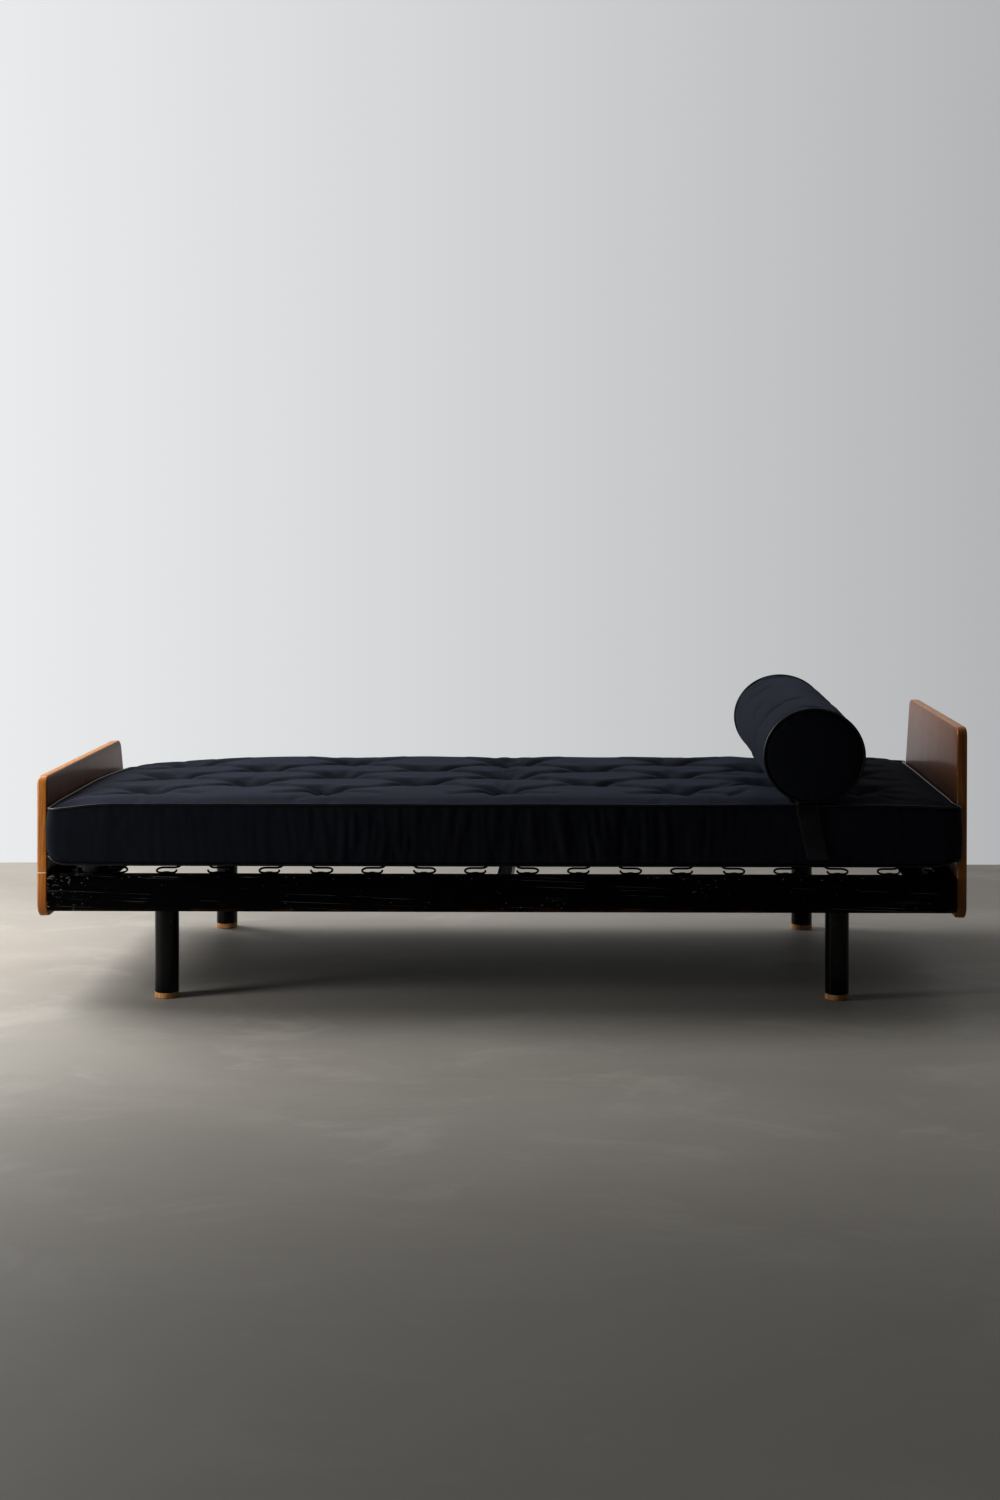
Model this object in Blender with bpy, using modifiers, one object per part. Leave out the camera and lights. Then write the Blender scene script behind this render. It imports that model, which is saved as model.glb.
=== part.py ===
"""Daybed: folded sheet-steel frame on tube legs, wooden end panels, sinuous springs,
mattress and bolster.

Metres. X runs along the bed, from the foot end to the head end. Y runs across it, the front
at -Y. Z is up, and the floor is Z = 0 under the middle of the bed.
"""

import math

import bmesh
import bpy
from mathutils import Matrix, Vector

# Clearance between pieces that touch
GAP = 0.0003

# Frame: C-section rails of folded sheet, open to the inside; flanges are (top, bottom)
HALF_LENGTH = 0.950
HALF_DEPTH = 0.400
RAIL_BOTTOM = 0.185
RAIL_TOP = 0.258
SHEET = 0.003
BEND_RADIUS = 0.006
LONG_RAIL_FLANGES = (0.045, 0.066)
END_RAIL_FLANGES = (0.032, 0.045)
CROSSBAR_SIDE = 0.030
CROSSBAR_WALL = 0.0025
CROSSBAR_BOTTOM = 0.202

# Legs and feet
LEG_X = 0.705
LEG_Y = 0.3645
LEG_RADIUS = 0.025
LEG_WALL = 0.002
FOOT_HEIGHT = 0.012
FOOT_RADIUS = 0.0253
FOOT_CHAMFER = 0.0015
SPIGOT_LENGTH = 0.030
ROUND_SIDES = 24

# Bolted corners: a plate under the flanges, a lug on the end rail, and a flanged bolt with a nut
PLATE_THICKNESS = 0.004
PLATE_LEG = 0.110
PLATE_TIP = 0.020
PLATE_SETBACK = 0.0065
LUG_LENGTH = 0.072
LUG_WIDTH = 0.044
CORNER_BOLT_INSET = (0.049, 0.062)
CORNER_BOLT = {"shank": 0.006, "head": 0.011, "head_height": 0.008, "flange": 0.014,
               "flange_height": 0.0025, "length": 0.0235}
NUT_HEIGHT = 0.010

# End panels, which narrow upwards and lean outwards
PANEL_THICKNESS = 0.0215
PANEL_BOTTOM = 0.172
FOOT_PANEL_TOP = 0.462
HEAD_PANEL_TOP = 0.566
PANEL_SIDE_SLOPE = 0.175
FOOT_PANEL_LEAN = 0.0485
HEAD_PANEL_LEAN = 0.0355
PANEL_CORNER_RADIUS = 0.025
PANEL_EDGE_ROUND = 0.004
PANEL_BOLT_SPACING = 0.270
PANEL_BOLT = {"shank": 0.004, "head": 0.0075, "head_height": 0.0055, "flange": 0.009,
              "flange_height": 0.0018, "length": 0.016}
PANEL_HOLE_DEPTH = 0.016

# Sinuous springs, from long rail to long rail
SPRING_COUNT = 16
SPRING_SPACING = 0.1087
SPRING_BARS = 30
SPRING_HALF_SPAN = 0.362
SPRING_HALF_WIDTH = 0.023
SPRING_WIRE_RADIUS = 0.0019
SPRING_CREST = 0.278
SPRING_SLOPE_LENGTH = 0.100

# Soft pieces
MATTRESS_HALF_LENGTH = 0.950
MATTRESS_HALF_DEPTH = 0.402
MATTRESS_BOTTOM = 0.283
MATTRESS_TOP = 0.4145
MATTRESS_EDGE_RADIUS = 0.020
BOLSTER_X = 0.653
BOLSTER_RADII = (0.110, 0.0985)
BOLSTER_HALF_LENGTH = 0.400
BOLSTER_END_ROUND = 0.008
BOLSTER_SIDES = 40
STRAP_WIDTH = 0.046
STRAP_THICKNESS = 0.0025
STRAP_CLEARANCE = 0.001
STRAP_X = 0.640
STRAP_UNDER_BOLSTER = 0.100
STRAP_END_Z = 0.296
STRAP_SIDEWAYS_DRIFT = 0.22

STEEL_BLACK = ((0.008, 0.009, 0.011), 0.28, 0.0)
STEEL_PLAIN = ((0.42, 0.42, 0.43), 0.35, 1.0)
STEEL_WIRE = ((0.030, 0.030, 0.034), 0.45, 0.9)
WOOD_PANEL = ((0.145, 0.062, 0.024), 0.35, 0.0)
WOOD_FOOT = ((0.180, 0.085, 0.045), 0.5, 0.0)
NAVY_FABRIC = ((0.020, 0.023, 0.031), 0.9, 0.0)
DARK_LEATHER = ((0.012, 0.012, 0.015), 0.35, 0.0)


# ---------------------------------------------------------------- scene and helpers

def clear_scene():
    for obj in list(bpy.data.objects):
        bpy.data.objects.remove(obj, do_unlink=True)


def new_collection(name):
    collection = bpy.data.collections.new(name)
    bpy.context.scene.collection.children.link(collection)
    return collection


def material(name, finish):
    """Principled material of this colour, roughness and metallic value."""
    color, roughness, metallic = finish
    mat = bpy.data.materials.new(name)
    mat.use_nodes = True
    shader = mat.node_tree.nodes["Principled BSDF"]
    shader.inputs["Base Color"].default_value = (*color, 1.0)
    shader.inputs["Roughness"].default_value = roughness
    shader.inputs["Metallic"].default_value = metallic
    mat.diffuse_color = (*color, 1.0)
    return mat


def add_part(name, mesh, finish, matrix=None):
    obj = bpy.data.objects.new(name, mesh)
    mesh.materials.clear()
    mesh.materials.append(material(name, finish))
    PARTS.objects.link(obj)
    obj.matrix_world = matrix or Matrix.Identity(4)
    return obj


def add_cutter(name, mesh, matrix=None):
    obj = bpy.data.objects.new(name, mesh)
    CUTTERS.objects.link(obj)
    obj.matrix_world = matrix or Matrix.Identity(4)
    obj.hide_render = True
    obj.display_type = "WIRE"
    return obj


def cut(obj, cutter):
    boolean = obj.modifiers.new("cut " + cutter.name, "BOOLEAN")
    boolean.operation = "DIFFERENCE"
    boolean.solver = "EXACT"
    boolean.object = cutter


def weld_and_face_out(mesh):
    bm = bmesh.new()
    bm.from_mesh(mesh)
    bmesh.ops.remove_doubles(bm, verts=bm.verts, dist=0.00001)
    bmesh.ops.recalc_face_normals(bm, faces=bm.faces)
    bm.to_mesh(mesh)
    bm.free()


def shade_round(mesh, sharp_degrees=35):
    mesh.shade_smooth()
    mesh.set_sharp_from_angle(angle=math.radians(sharp_degrees))


def curve_to_mesh(curve, name):
    """Closed mesh of a curve, with its caps welded on."""
    guide = bpy.data.objects.new(name + "_curve", curve)
    CUTTERS.objects.link(guide)
    evaluated = guide.evaluated_get(bpy.context.evaluated_depsgraph_get())
    mesh = bpy.data.meshes.new_from_object(evaluated)
    mesh.name = name
    bpy.data.objects.remove(guide, do_unlink=True)
    weld_and_face_out(mesh)
    return mesh


def plate(name, loops, thickness):
    """Flat solid in XY, centred on Z = 0: the first loop is its outline, the others are holes."""
    curve = bpy.data.curves.new(name, "CURVE")
    curve.dimensions = "2D"
    curve.fill_mode = "BOTH"
    curve.extrude = thickness / 2
    for loop in loops:
        spline = curve.splines.new("POLY")
        spline.points.add(len(loop) - 1)
        for point, (x, y) in zip(spline.points, loop):
            point.co = (x, y, 0.0, 1.0)
        spline.use_cyclic_u = True
    return curve_to_mesh(curve, name)


def arc(center, radius, start, end, steps):
    """Points on an arc, angles in degrees."""
    angles = [math.radians(start + (end - start) * i / steps) for i in range(steps + 1)]
    return [(center[0] + radius * math.cos(a), center[1] + radius * math.sin(a)) for a in angles]


def circle(center, radius, sides=ROUND_SIDES):
    return arc(center, radius, 0, 360, sides)[:-1]


def polygon(radius, sides):
    return circle((0.0, 0.0), radius, sides)


def rounded_outline(corners, radius, steps):
    """Closed outline through the corners, each one rounded by an arc."""
    outline = []
    count = len(corners)
    for i, corner in enumerate(corners):
        here = Vector(corner)
        back = (Vector(corners[i - 1]) - here).normalized()
        ahead = (Vector(corners[(i + 1) % count]) - here).normalized()
        half_angle = back.angle(ahead) / 2
        center = here + (back + ahead).normalized() * radius / math.sin(half_angle)
        first = here + back * radius / math.tan(half_angle) - center
        last = here + ahead * radius / math.tan(half_angle) - center
        sweep = first.angle_signed(last)
        for step in range(steps + 1):
            turned = first.copy()
            turned.rotate(Matrix.Rotation(-sweep * step / steps, 2))
            outline.append(tuple(center + turned))
    return outline


def turned_mesh(name, profile, sides=ROUND_SIDES, closed=False):
    """Solid turned about Z from a profile of (radius, z) that runs down its outer side."""
    mesh = bpy.data.meshes.new(name)
    edges = [(i, i + 1) for i in range(len(profile) - 1)]
    if closed:
        edges.append((len(profile) - 1, 0))
    mesh.from_pydata([(radius, 0.0, z) for radius, z in profile], edges, [])
    guide = bpy.data.objects.new(name + "_profile", mesh)
    CUTTERS.objects.link(guide)
    screw = guide.modifiers.new("turn", "SCREW")
    screw.steps = sides
    screw.render_steps = sides
    screw.use_merge_vertices = True
    screw.merge_threshold = 0.00001
    evaluated = guide.evaluated_get(bpy.context.evaluated_depsgraph_get())
    turned = bpy.data.meshes.new_from_object(evaluated)
    turned.name = name
    bpy.data.objects.remove(guide, do_unlink=True)
    weld_and_face_out(turned)
    shade_round(turned)
    return turned


def joined_mesh(name, meshes):
    """One mesh of closed solids that overlap, united by Boolean."""
    base = bpy.data.objects.new(name, meshes[0])
    CUTTERS.objects.link(base)
    others = [add_cutter(name + "_join", mesh) for mesh in meshes[1:]]
    for other in others:
        union = base.modifiers.new("union", "BOOLEAN")
        union.operation = "UNION"
        union.solver = "EXACT"
        union.object = other
    evaluated = base.evaluated_get(bpy.context.evaluated_depsgraph_get())
    mesh = bpy.data.meshes.new_from_object(evaluated)
    mesh.name = name
    for obj in [base] + others:
        bpy.data.objects.remove(obj, do_unlink=True)
    weld_and_face_out(mesh)
    return mesh


def moved(mesh, offset):
    mesh.transform(Matrix.Translation(offset))
    return mesh


# ---------------------------------------------------------------- rails and crossbar

def channel_outline(flanges):
    """C section: X is the distance in from the outer face, Y the height."""
    top_flange, bottom_flange = flanges
    steps = 4
    outer, inner = BEND_RADIUS, BEND_RADIUS - SHEET
    top_center = (BEND_RADIUS, RAIL_TOP - BEND_RADIUS)
    bottom_center = (BEND_RADIUS, RAIL_BOTTOM + BEND_RADIUS)
    outline = [(top_flange, RAIL_TOP)]
    outline += arc(top_center, outer, 90, 180, steps)
    outline += arc(bottom_center, outer, 180, 270, steps)
    outline += [(bottom_flange, RAIL_BOTTOM), (bottom_flange, RAIL_BOTTOM + SHEET)]
    outline += arc(bottom_center, inner, 270, 180, steps)
    outline += arc(top_center, inner, 180, 90, steps)
    outline += [(top_flange, RAIL_TOP - SHEET)]
    return outline


def rail(name, half_length, face_distance, flanges, turn):
    """Channel with mitred ends, its outer face this far from the middle of the bed."""
    mesh = plate(name, [channel_outline(flanges)], 2 * half_length)
    mitre_clearance = 0.75 * GAP
    for vertex in mesh.vertices:
        end = math.copysign(1.0, vertex.co.z)
        vertex.co.z -= end * (vertex.co.x + mitre_clearance)
    as_front_rail = Matrix(((0, 0, 1, 0), (1, 0, 0, -face_distance), (0, 1, 0, 0), (0, 0, 0, 1)))
    mesh.transform(Matrix.Rotation(math.radians(turn), 4, "Z") @ as_front_rail)
    shade_round(mesh)
    return add_part(name, mesh, STEEL_BLACK)


def add_long_rails():
    hole = plate("leg_hole", [polygon(LEG_RADIUS + GAP, ROUND_SIDES)], 4 * SHEET)
    for name, turn, side in (("front_rail", 0, -1), ("rear_rail", 180, 1)):
        obj = rail(name, HALF_LENGTH - GAP, HALF_DEPTH, LONG_RAIL_FLANGES, turn)
        for end in (-1, 1):
            place = Matrix.Translation((end * LEG_X, side * LEG_Y, RAIL_BOTTOM + SHEET / 2))
            cut(obj, add_cutter(f"{name}_leg_hole_{'left' if end < 0 else 'right'}", hole, place))


def add_end_rails():
    hole = plate("web_hole", [polygon(PANEL_BOLT["shank"] + GAP, 12)], 4 * SHEET)
    for name, turn, end in (("foot_end_rail", -90, -1), ("head_end_rail", 90, 1)):
        obj = rail(name, HALF_DEPTH, HALF_LENGTH - GAP, END_RAIL_FLANGES, turn)
        for index, y in enumerate(panel_bolt_places()):
            place = Matrix.Translation((end * (HALF_LENGTH - GAP - SHEET / 2), y, panel_bolt_height()))
            place = place @ Matrix.Rotation(math.pi / 2, 4, "Y")
            cut(obj, add_cutter(f"{name}_web_hole_{index}", hole, place))


def add_crossbar():
    half = CROSSBAR_SIDE / 2
    inside = half - CROSSBAR_WALL
    square = [(-half, -half), (half, -half), (half, half), (-half, half)]
    hollow = [(-inside, -inside), (inside, -inside), (inside, inside), (-inside, inside)]
    mesh = plate("centre_crossbar", [square, hollow], 2 * (HALF_DEPTH - SHEET - GAP))
    mesh.transform(Matrix.Rotation(math.pi / 2, 4, "X"))
    moved(mesh, (0.0, 0.0, CROSSBAR_BOTTOM + half))
    add_part("centre_crossbar", mesh, STEEL_BLACK)


# ---------------------------------------------------------------- corners and fasteners

def flange_bolt_mesh(name, size):
    """Hex bolt with a washer flange: the seat of its flange is Z = 0, its head above it."""
    top = size["flange_height"] + size["head_height"]
    overlap = 0.0005
    head = plate(name, [polygon(size["head"], 6)], size["head_height"] + overlap)
    moved(head, (0, 0, size["flange_height"] + (size["head_height"] - overlap) / 2))
    stem = turned_mesh(name, [
        (0.0, top - 0.001), (0.5 * size["shank"], top - 0.001),
        (0.5 * size["shank"], size["flange_height"]), (size["flange"] - 0.0005, size["flange_height"]),
        (size["flange"], size["flange_height"] / 2), (size["flange"], 0.0), (size["shank"], 0.0),
        (size["shank"], -size["length"] + 0.001), (size["shank"] - 0.001, -size["length"]),
        (0.0, -size["length"])], sides=18)
    return joined_mesh(name, [head, stem])


def corners():
    for end, end_name in ((-1, "foot"), (1, "head")):
        for side, side_name in ((-1, "front"), (1, "rear")):
            yield f"{end_name}_{side_name}", end, side


def corner_matrix(end, side, z):
    """Frame at a corner of the steel frame: X and Y run inwards from it."""
    matrix = Matrix.Translation((end * (HALF_LENGTH - GAP), side * HALF_DEPTH, z))
    return matrix @ Matrix.Diagonal((-end, -side, 1, 1))


def corner_solid(name, mesh, end, side, z):
    mesh = mesh.copy()
    mesh.transform(corner_matrix(end, side, z))
    if end * side < 0:
        mesh.flip_normals()
    add_part(name, mesh, STEEL_BLACK)


def add_corner_plates():
    bolt_hole = circle(CORNER_BOLT_INSET, CORNER_BOLT["shank"] + GAP, 18)
    near, far = PLATE_SETBACK, PLATE_LEG
    triangle = [(near, near), (far, near), (far, near + PLATE_TIP), (near + PLATE_TIP, far), (near, far)]
    plate_mesh = plate("corner_plate", [triangle, bolt_hole], PLATE_THICKNESS)
    lug_y = CORNER_BOLT_INSET[1]
    lug_start = SHEET + GAP
    half_width = LUG_WIDTH / 2
    lug = [(lug_start, lug_y - half_width), (lug_start + LUG_LENGTH - half_width, lug_y - half_width)]
    lug += arc((lug_start + LUG_LENGTH - half_width, lug_y), half_width, -75, 75, 8)
    lug += [(lug_start + LUG_LENGTH - half_width, lug_y + half_width), (lug_start, lug_y + half_width)]
    lug_mesh = plate("end_lug", [lug, bolt_hole], PLATE_THICKNESS)
    for corner, end, side in corners():
        plate_z = corner_plate_top() - PLATE_THICKNESS / 2
        corner_solid("corner_plate_" + corner, plate_mesh, end, side, plate_z)
        corner_solid("end_lug_" + corner, lug_mesh, end, side, plate_z - PLATE_THICKNESS - GAP)


def corner_plate_top():
    return RAIL_TOP - SHEET - GAP


def add_corner_bolts():
    bolt = flange_bolt_mesh("corner_bolt", CORNER_BOLT)
    hexagon = polygon(CORNER_BOLT["head"], 6)
    nut = plate("corner_nut", [hexagon, circle((0, 0), CORNER_BOLT["shank"] + GAP, 18)], NUT_HEIGHT)
    nut_z = corner_plate_top() - 2 * PLATE_THICKNESS - 2 * GAP - NUT_HEIGHT / 2
    for corner, end, side in corners():
        x = end * (HALF_LENGTH - GAP - CORNER_BOLT_INSET[0])
        y = side * (HALF_DEPTH - CORNER_BOLT_INSET[1])
        add_part("corner_bolt_" + corner, bolt.copy(), STEEL_PLAIN,
                 Matrix.Translation((x, y, corner_plate_top() + GAP)))
        add_part("corner_nut_" + corner, nut.copy(), STEEL_PLAIN, Matrix.Translation((x, y, nut_z)))


# ---------------------------------------------------------------- legs and feet

def add_legs():
    top = RAIL_TOP - SHEET - GAP
    bottom = FOOT_HEIGHT + GAP
    inside = LEG_RADIUS - LEG_WALL
    tube = turned_mesh("leg", [(LEG_RADIUS, top), (LEG_RADIUS, bottom), (inside, bottom), (inside, top)],
                       closed=True)
    spigot = inside - GAP
    foot = turned_mesh("foot", [
        (0.0, FOOT_HEIGHT + SPIGOT_LENGTH), (spigot, FOOT_HEIGHT + SPIGOT_LENGTH), (spigot, FOOT_HEIGHT),
        (FOOT_RADIUS, FOOT_HEIGHT), (FOOT_RADIUS, FOOT_CHAMFER), (FOOT_RADIUS - FOOT_CHAMFER, 0.0),
        (0.0, 0.0)])
    for side, side_name in ((-1, "front"), (1, "rear")):
        for end, end_name in ((-1, "left"), (1, "right")):
            place = Matrix.Translation((end * LEG_X, side * LEG_Y, 0.0))
            add_part(f"leg_{side_name}_{end_name}", tube.copy(), STEEL_BLACK, place)
            add_part(f"foot_{side_name}_{end_name}", foot.copy(), WOOD_FOOT, place)


# ---------------------------------------------------------------- end panels

def panel_bolt_places():
    return (-PANEL_BOLT_SPACING, 0.0, PANEL_BOLT_SPACING)


def panel_bolt_height():
    return (RAIL_BOTTOM + RAIL_TOP) / 2


def add_panel(name, top, lean_slope, end):
    """Wooden panel: local X across the bed, local Y up, its inner face at Z = 0."""
    half_bottom = HALF_DEPTH
    half_top = HALF_DEPTH - (top - PANEL_BOTTOM) * PANEL_SIDE_SLOPE
    low, high = PANEL_BOTTOM - RAIL_BOTTOM, top - RAIL_BOTTOM
    corners_of_panel = [(-half_bottom, low), (half_bottom, low), (half_top, high), (-half_top, high)]
    outline = rounded_outline(corners_of_panel, PANEL_CORNER_RADIUS, 5)
    mesh = plate(name, [outline], PANEL_THICKNESS)
    moved(mesh, (0.0, 0.0, PANEL_THICKNESS / 2))
    upright = Matrix(((0, 0, 1, 0), (1, 0, 0, 0), (0, 1, 0, 0), (0, 0, 0, 1)))
    lean = Matrix.Rotation(math.atan(lean_slope), 4, "Y")
    to_end = Matrix.Rotation(0.0 if end > 0 else math.pi, 4, "Z")
    place = to_end @ Matrix.Translation((HALF_LENGTH, 0.0, RAIL_BOTTOM)) @ lean @ upright
    obj = add_part(name, mesh, WOOD_PANEL, place)
    edge = obj.modifiers.new("rounded edge", "BEVEL")
    edge.width = PANEL_EDGE_ROUND
    edge.segments = 2
    edge.limit_method = "ANGLE"
    shade_round(mesh, 50)
    hole = plate("panel_hole", [polygon(PANEL_BOLT["shank"] + GAP, 12)], 2 * PANEL_HOLE_DEPTH)
    for index, y in enumerate(panel_bolt_places()):
        spot = Matrix.Translation((end * HALF_LENGTH, y, panel_bolt_height()))
        cut(obj, add_cutter(f"{name}_hole_{index}", hole, spot @ Matrix.Rotation(math.pi / 2, 4, "Y")))


def add_panel_bolts():
    bolt = flange_bolt_mesh("panel_bolt", PANEL_BOLT)
    for end, end_name in ((-1, "foot"), (1, "head")):
        for index, y in enumerate(panel_bolt_places()):
            x = end * (HALF_LENGTH - 2 * GAP - SHEET)
            place = Matrix.Translation((x, y, panel_bolt_height()))
            place = place @ Matrix.Rotation(-end * math.pi / 2, 4, "Y")
            add_part(f"panel_bolt_{end_name}_{index}", bolt.copy(), STEEL_PLAIN, place)


# ---------------------------------------------------------------- springs

def spring_height(y):
    """Height of the wire's middle: low on the rails, rising to just under the mattress."""
    start = RAIL_TOP + GAP + SPRING_WIRE_RADIUS
    part_way = min(1.0, (SPRING_HALF_SPAN - abs(y)) / SPRING_SLOPE_LENGTH)
    return start + (SPRING_CREST - start) * math.sin(math.pi / 2 * part_way)


def spring_mesh(name, first_bend):
    """Zigzag wire across the bed: bars along X, joined by bends on alternate sides."""
    curve = bpy.data.curves.new(name, "CURVE")
    curve.dimensions = "3D"
    curve.bevel_depth = SPRING_WIRE_RADIUS
    curve.bevel_resolution = 0
    curve.use_fill_caps = True
    points = []
    pitch = 2 * SPRING_HALF_SPAN / (SPRING_BARS - 1)
    for bar in range(SPRING_BARS):
        y = -SPRING_HALF_SPAN + bar * pitch
        end_side = first_bend if bar % 2 == 0 else -first_bend
        for x in (-end_side * SPRING_HALF_WIDTH, end_side * SPRING_HALF_WIDTH):
            points.append((x, y, spring_height(y)))
    spline = curve.splines.new("POLY")
    spline.points.add(len(points) - 1)
    for point, place in zip(spline.points, points):
        point.co = (*place, 1.0)
    mesh = curve_to_mesh(curve, name)
    mesh.shade_smooth()
    return mesh


def add_springs():
    meshes = (spring_mesh("spring_left_hand", 1), spring_mesh("spring_right_hand", -1))
    for index in range(SPRING_COUNT):
        x = (index - (SPRING_COUNT - 1) / 2) * SPRING_SPACING
        add_part(f"spring_{index:02d}", meshes[index % 2].copy(), STEEL_WIRE,
                 Matrix.Translation((x, 0.0, 0.0)))


# ---------------------------------------------------------------- soft pieces

def add_mattress():
    bm = bmesh.new()
    bmesh.ops.create_cube(bm, size=1.0)
    height = MATTRESS_TOP - MATTRESS_BOTTOM
    bmesh.ops.scale(bm, verts=bm.verts, vec=(2 * MATTRESS_HALF_LENGTH, 2 * MATTRESS_HALF_DEPTH, height))
    bmesh.ops.translate(bm, verts=bm.verts, vec=(0.0, 0.0, MATTRESS_BOTTOM + height / 2))
    mesh = bpy.data.meshes.new("mattress")
    bm.to_mesh(mesh)
    bm.free()
    obj = add_part("mattress", mesh, NAVY_FABRIC)
    edge = obj.modifiers.new("rounded edge", "BEVEL")
    edge.width = MATTRESS_EDGE_RADIUS
    edge.segments = 3
    edge.limit_method = "NONE"
    shade_round(mesh)


def bolster_bottom():
    return MATTRESS_TOP + STRAP_CLEARANCE + STRAP_THICKNESS + 2 * GAP


def add_bolster():
    half, edge = BOLSTER_HALF_LENGTH, BOLSTER_END_ROUND
    radius = BOLSTER_RADII[0]
    profile = [(0.0, half), (radius - edge, half), (radius, half - edge),
               (radius, -half + edge), (radius - edge, -half), (0.0, -half)]
    mesh = turned_mesh("bolster", profile, BOLSTER_SIDES)
    mesh.transform(Matrix.Rotation(math.pi / 2, 4, "X"))
    mesh.transform(Matrix.Diagonal((1.0, 1.0, BOLSTER_RADII[1] / radius, 1.0)))
    add_part("bolster", mesh, NAVY_FABRIC,
             Matrix.Translation((BOLSTER_X, 0.0, bolster_bottom() + BOLSTER_RADII[1])))


def add_strap():
    """Leather strap from under the bolster, over the mattress's edge and down its front."""
    offset = STRAP_CLEARANCE + STRAP_THICKNESS / 2
    corner = (MATTRESS_EDGE_RADIUS - MATTRESS_HALF_DEPTH, MATTRESS_TOP - MATTRESS_EDGE_RADIUS)
    path = [(-MATTRESS_HALF_DEPTH + STRAP_UNDER_BOLSTER, MATTRESS_TOP + offset)]
    path += arc(corner, MATTRESS_EDGE_RADIUS + offset, 90, 180, 5)
    path += [(-MATTRESS_HALF_DEPTH - offset, STRAP_END_Z)]
    half = STRAP_WIDTH / 2
    bm = bmesh.new()
    rows = []
    for y, z in path:
        drift = STRAP_SIDEWAYS_DRIFT * max(0.0, corner[1] - z)
        rows.append([bm.verts.new((STRAP_X + drift + side * half, y, z)) for side in (-1, 1)])
    for (a, b), (c, d) in zip(rows, rows[1:]):
        bm.faces.new((a, b, d, c))
    mesh = bpy.data.meshes.new("bolster_strap")
    bm.to_mesh(mesh)
    bm.free()
    obj = add_part("bolster_strap", mesh, DARK_LEATHER)
    solid = obj.modifiers.new("leather", "SOLIDIFY")
    solid.thickness = STRAP_THICKNESS
    solid.offset = 0.0
    solid.use_even_offset = True


clear_scene()
PARTS = new_collection("daybed")
CUTTERS = new_collection("daybed_cutters")
add_long_rails()
add_end_rails()
add_crossbar()
add_corner_plates()
add_corner_bolts()
add_legs()
add_panel("foot_panel", FOOT_PANEL_TOP, FOOT_PANEL_LEAN, -1)
add_panel("head_panel", HEAD_PANEL_TOP, HEAD_PANEL_LEAN, 1)
add_panel_bolts()
add_springs()
add_mattress()
add_bolster()
add_strap()
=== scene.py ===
"""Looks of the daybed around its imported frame. Metres; X along the bed, front at -Y, Z up."""

import math

import bmesh
import bpy
from mathutils import Matrix, Vector, noise
from mathutils.bvhtree import BVHTree


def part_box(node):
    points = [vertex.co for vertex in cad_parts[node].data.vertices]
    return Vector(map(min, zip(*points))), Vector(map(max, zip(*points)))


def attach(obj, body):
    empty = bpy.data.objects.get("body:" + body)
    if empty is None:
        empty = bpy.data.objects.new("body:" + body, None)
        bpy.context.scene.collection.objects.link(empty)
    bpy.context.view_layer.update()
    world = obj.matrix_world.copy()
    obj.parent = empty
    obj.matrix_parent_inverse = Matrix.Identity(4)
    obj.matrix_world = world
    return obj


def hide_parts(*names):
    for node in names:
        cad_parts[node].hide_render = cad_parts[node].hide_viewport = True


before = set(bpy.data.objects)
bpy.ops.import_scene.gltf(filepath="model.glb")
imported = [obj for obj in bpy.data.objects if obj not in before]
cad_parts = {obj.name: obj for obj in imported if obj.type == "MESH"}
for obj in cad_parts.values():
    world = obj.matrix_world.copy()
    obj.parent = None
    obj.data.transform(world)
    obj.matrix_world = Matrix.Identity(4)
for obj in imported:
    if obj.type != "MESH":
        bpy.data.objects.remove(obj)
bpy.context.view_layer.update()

# ---------------------------------------------------------------- sizes read from the frame

GAP = 0.0003
RAIL_LOW, RAIL_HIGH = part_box("front_rail")
RAIL_BOTTOM, RAIL_TOP = RAIL_LOW.z, RAIL_HIGH.z
HALF_DEPTH = -RAIL_LOW.y
HALF_LENGTH = -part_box("foot_end_rail")[0].x
MATTRESS_LOW, MATTRESS_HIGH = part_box("mattress")


def node_center(name):
    low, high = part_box(name)
    return (low + high) / 2


# ---------------------------------------------------------------- shader helpers

class Field:
    """Output of a shader node that takes part in sums."""

    def __init__(self, shader, socket):
        self.shader = shader
        self.socket = socket

    def __add__(self, other):
        return self.shader.math("ADD", self, other)

    def __sub__(self, other):
        return self.shader.math("SUBTRACT", self, other)

    def __rsub__(self, other):
        return self.shader.math("SUBTRACT", other, self)

    def __mul__(self, other):
        return self.shader.math("MULTIPLY", self, other)

    __radd__ = __add__
    __rmul__ = __mul__


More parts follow.
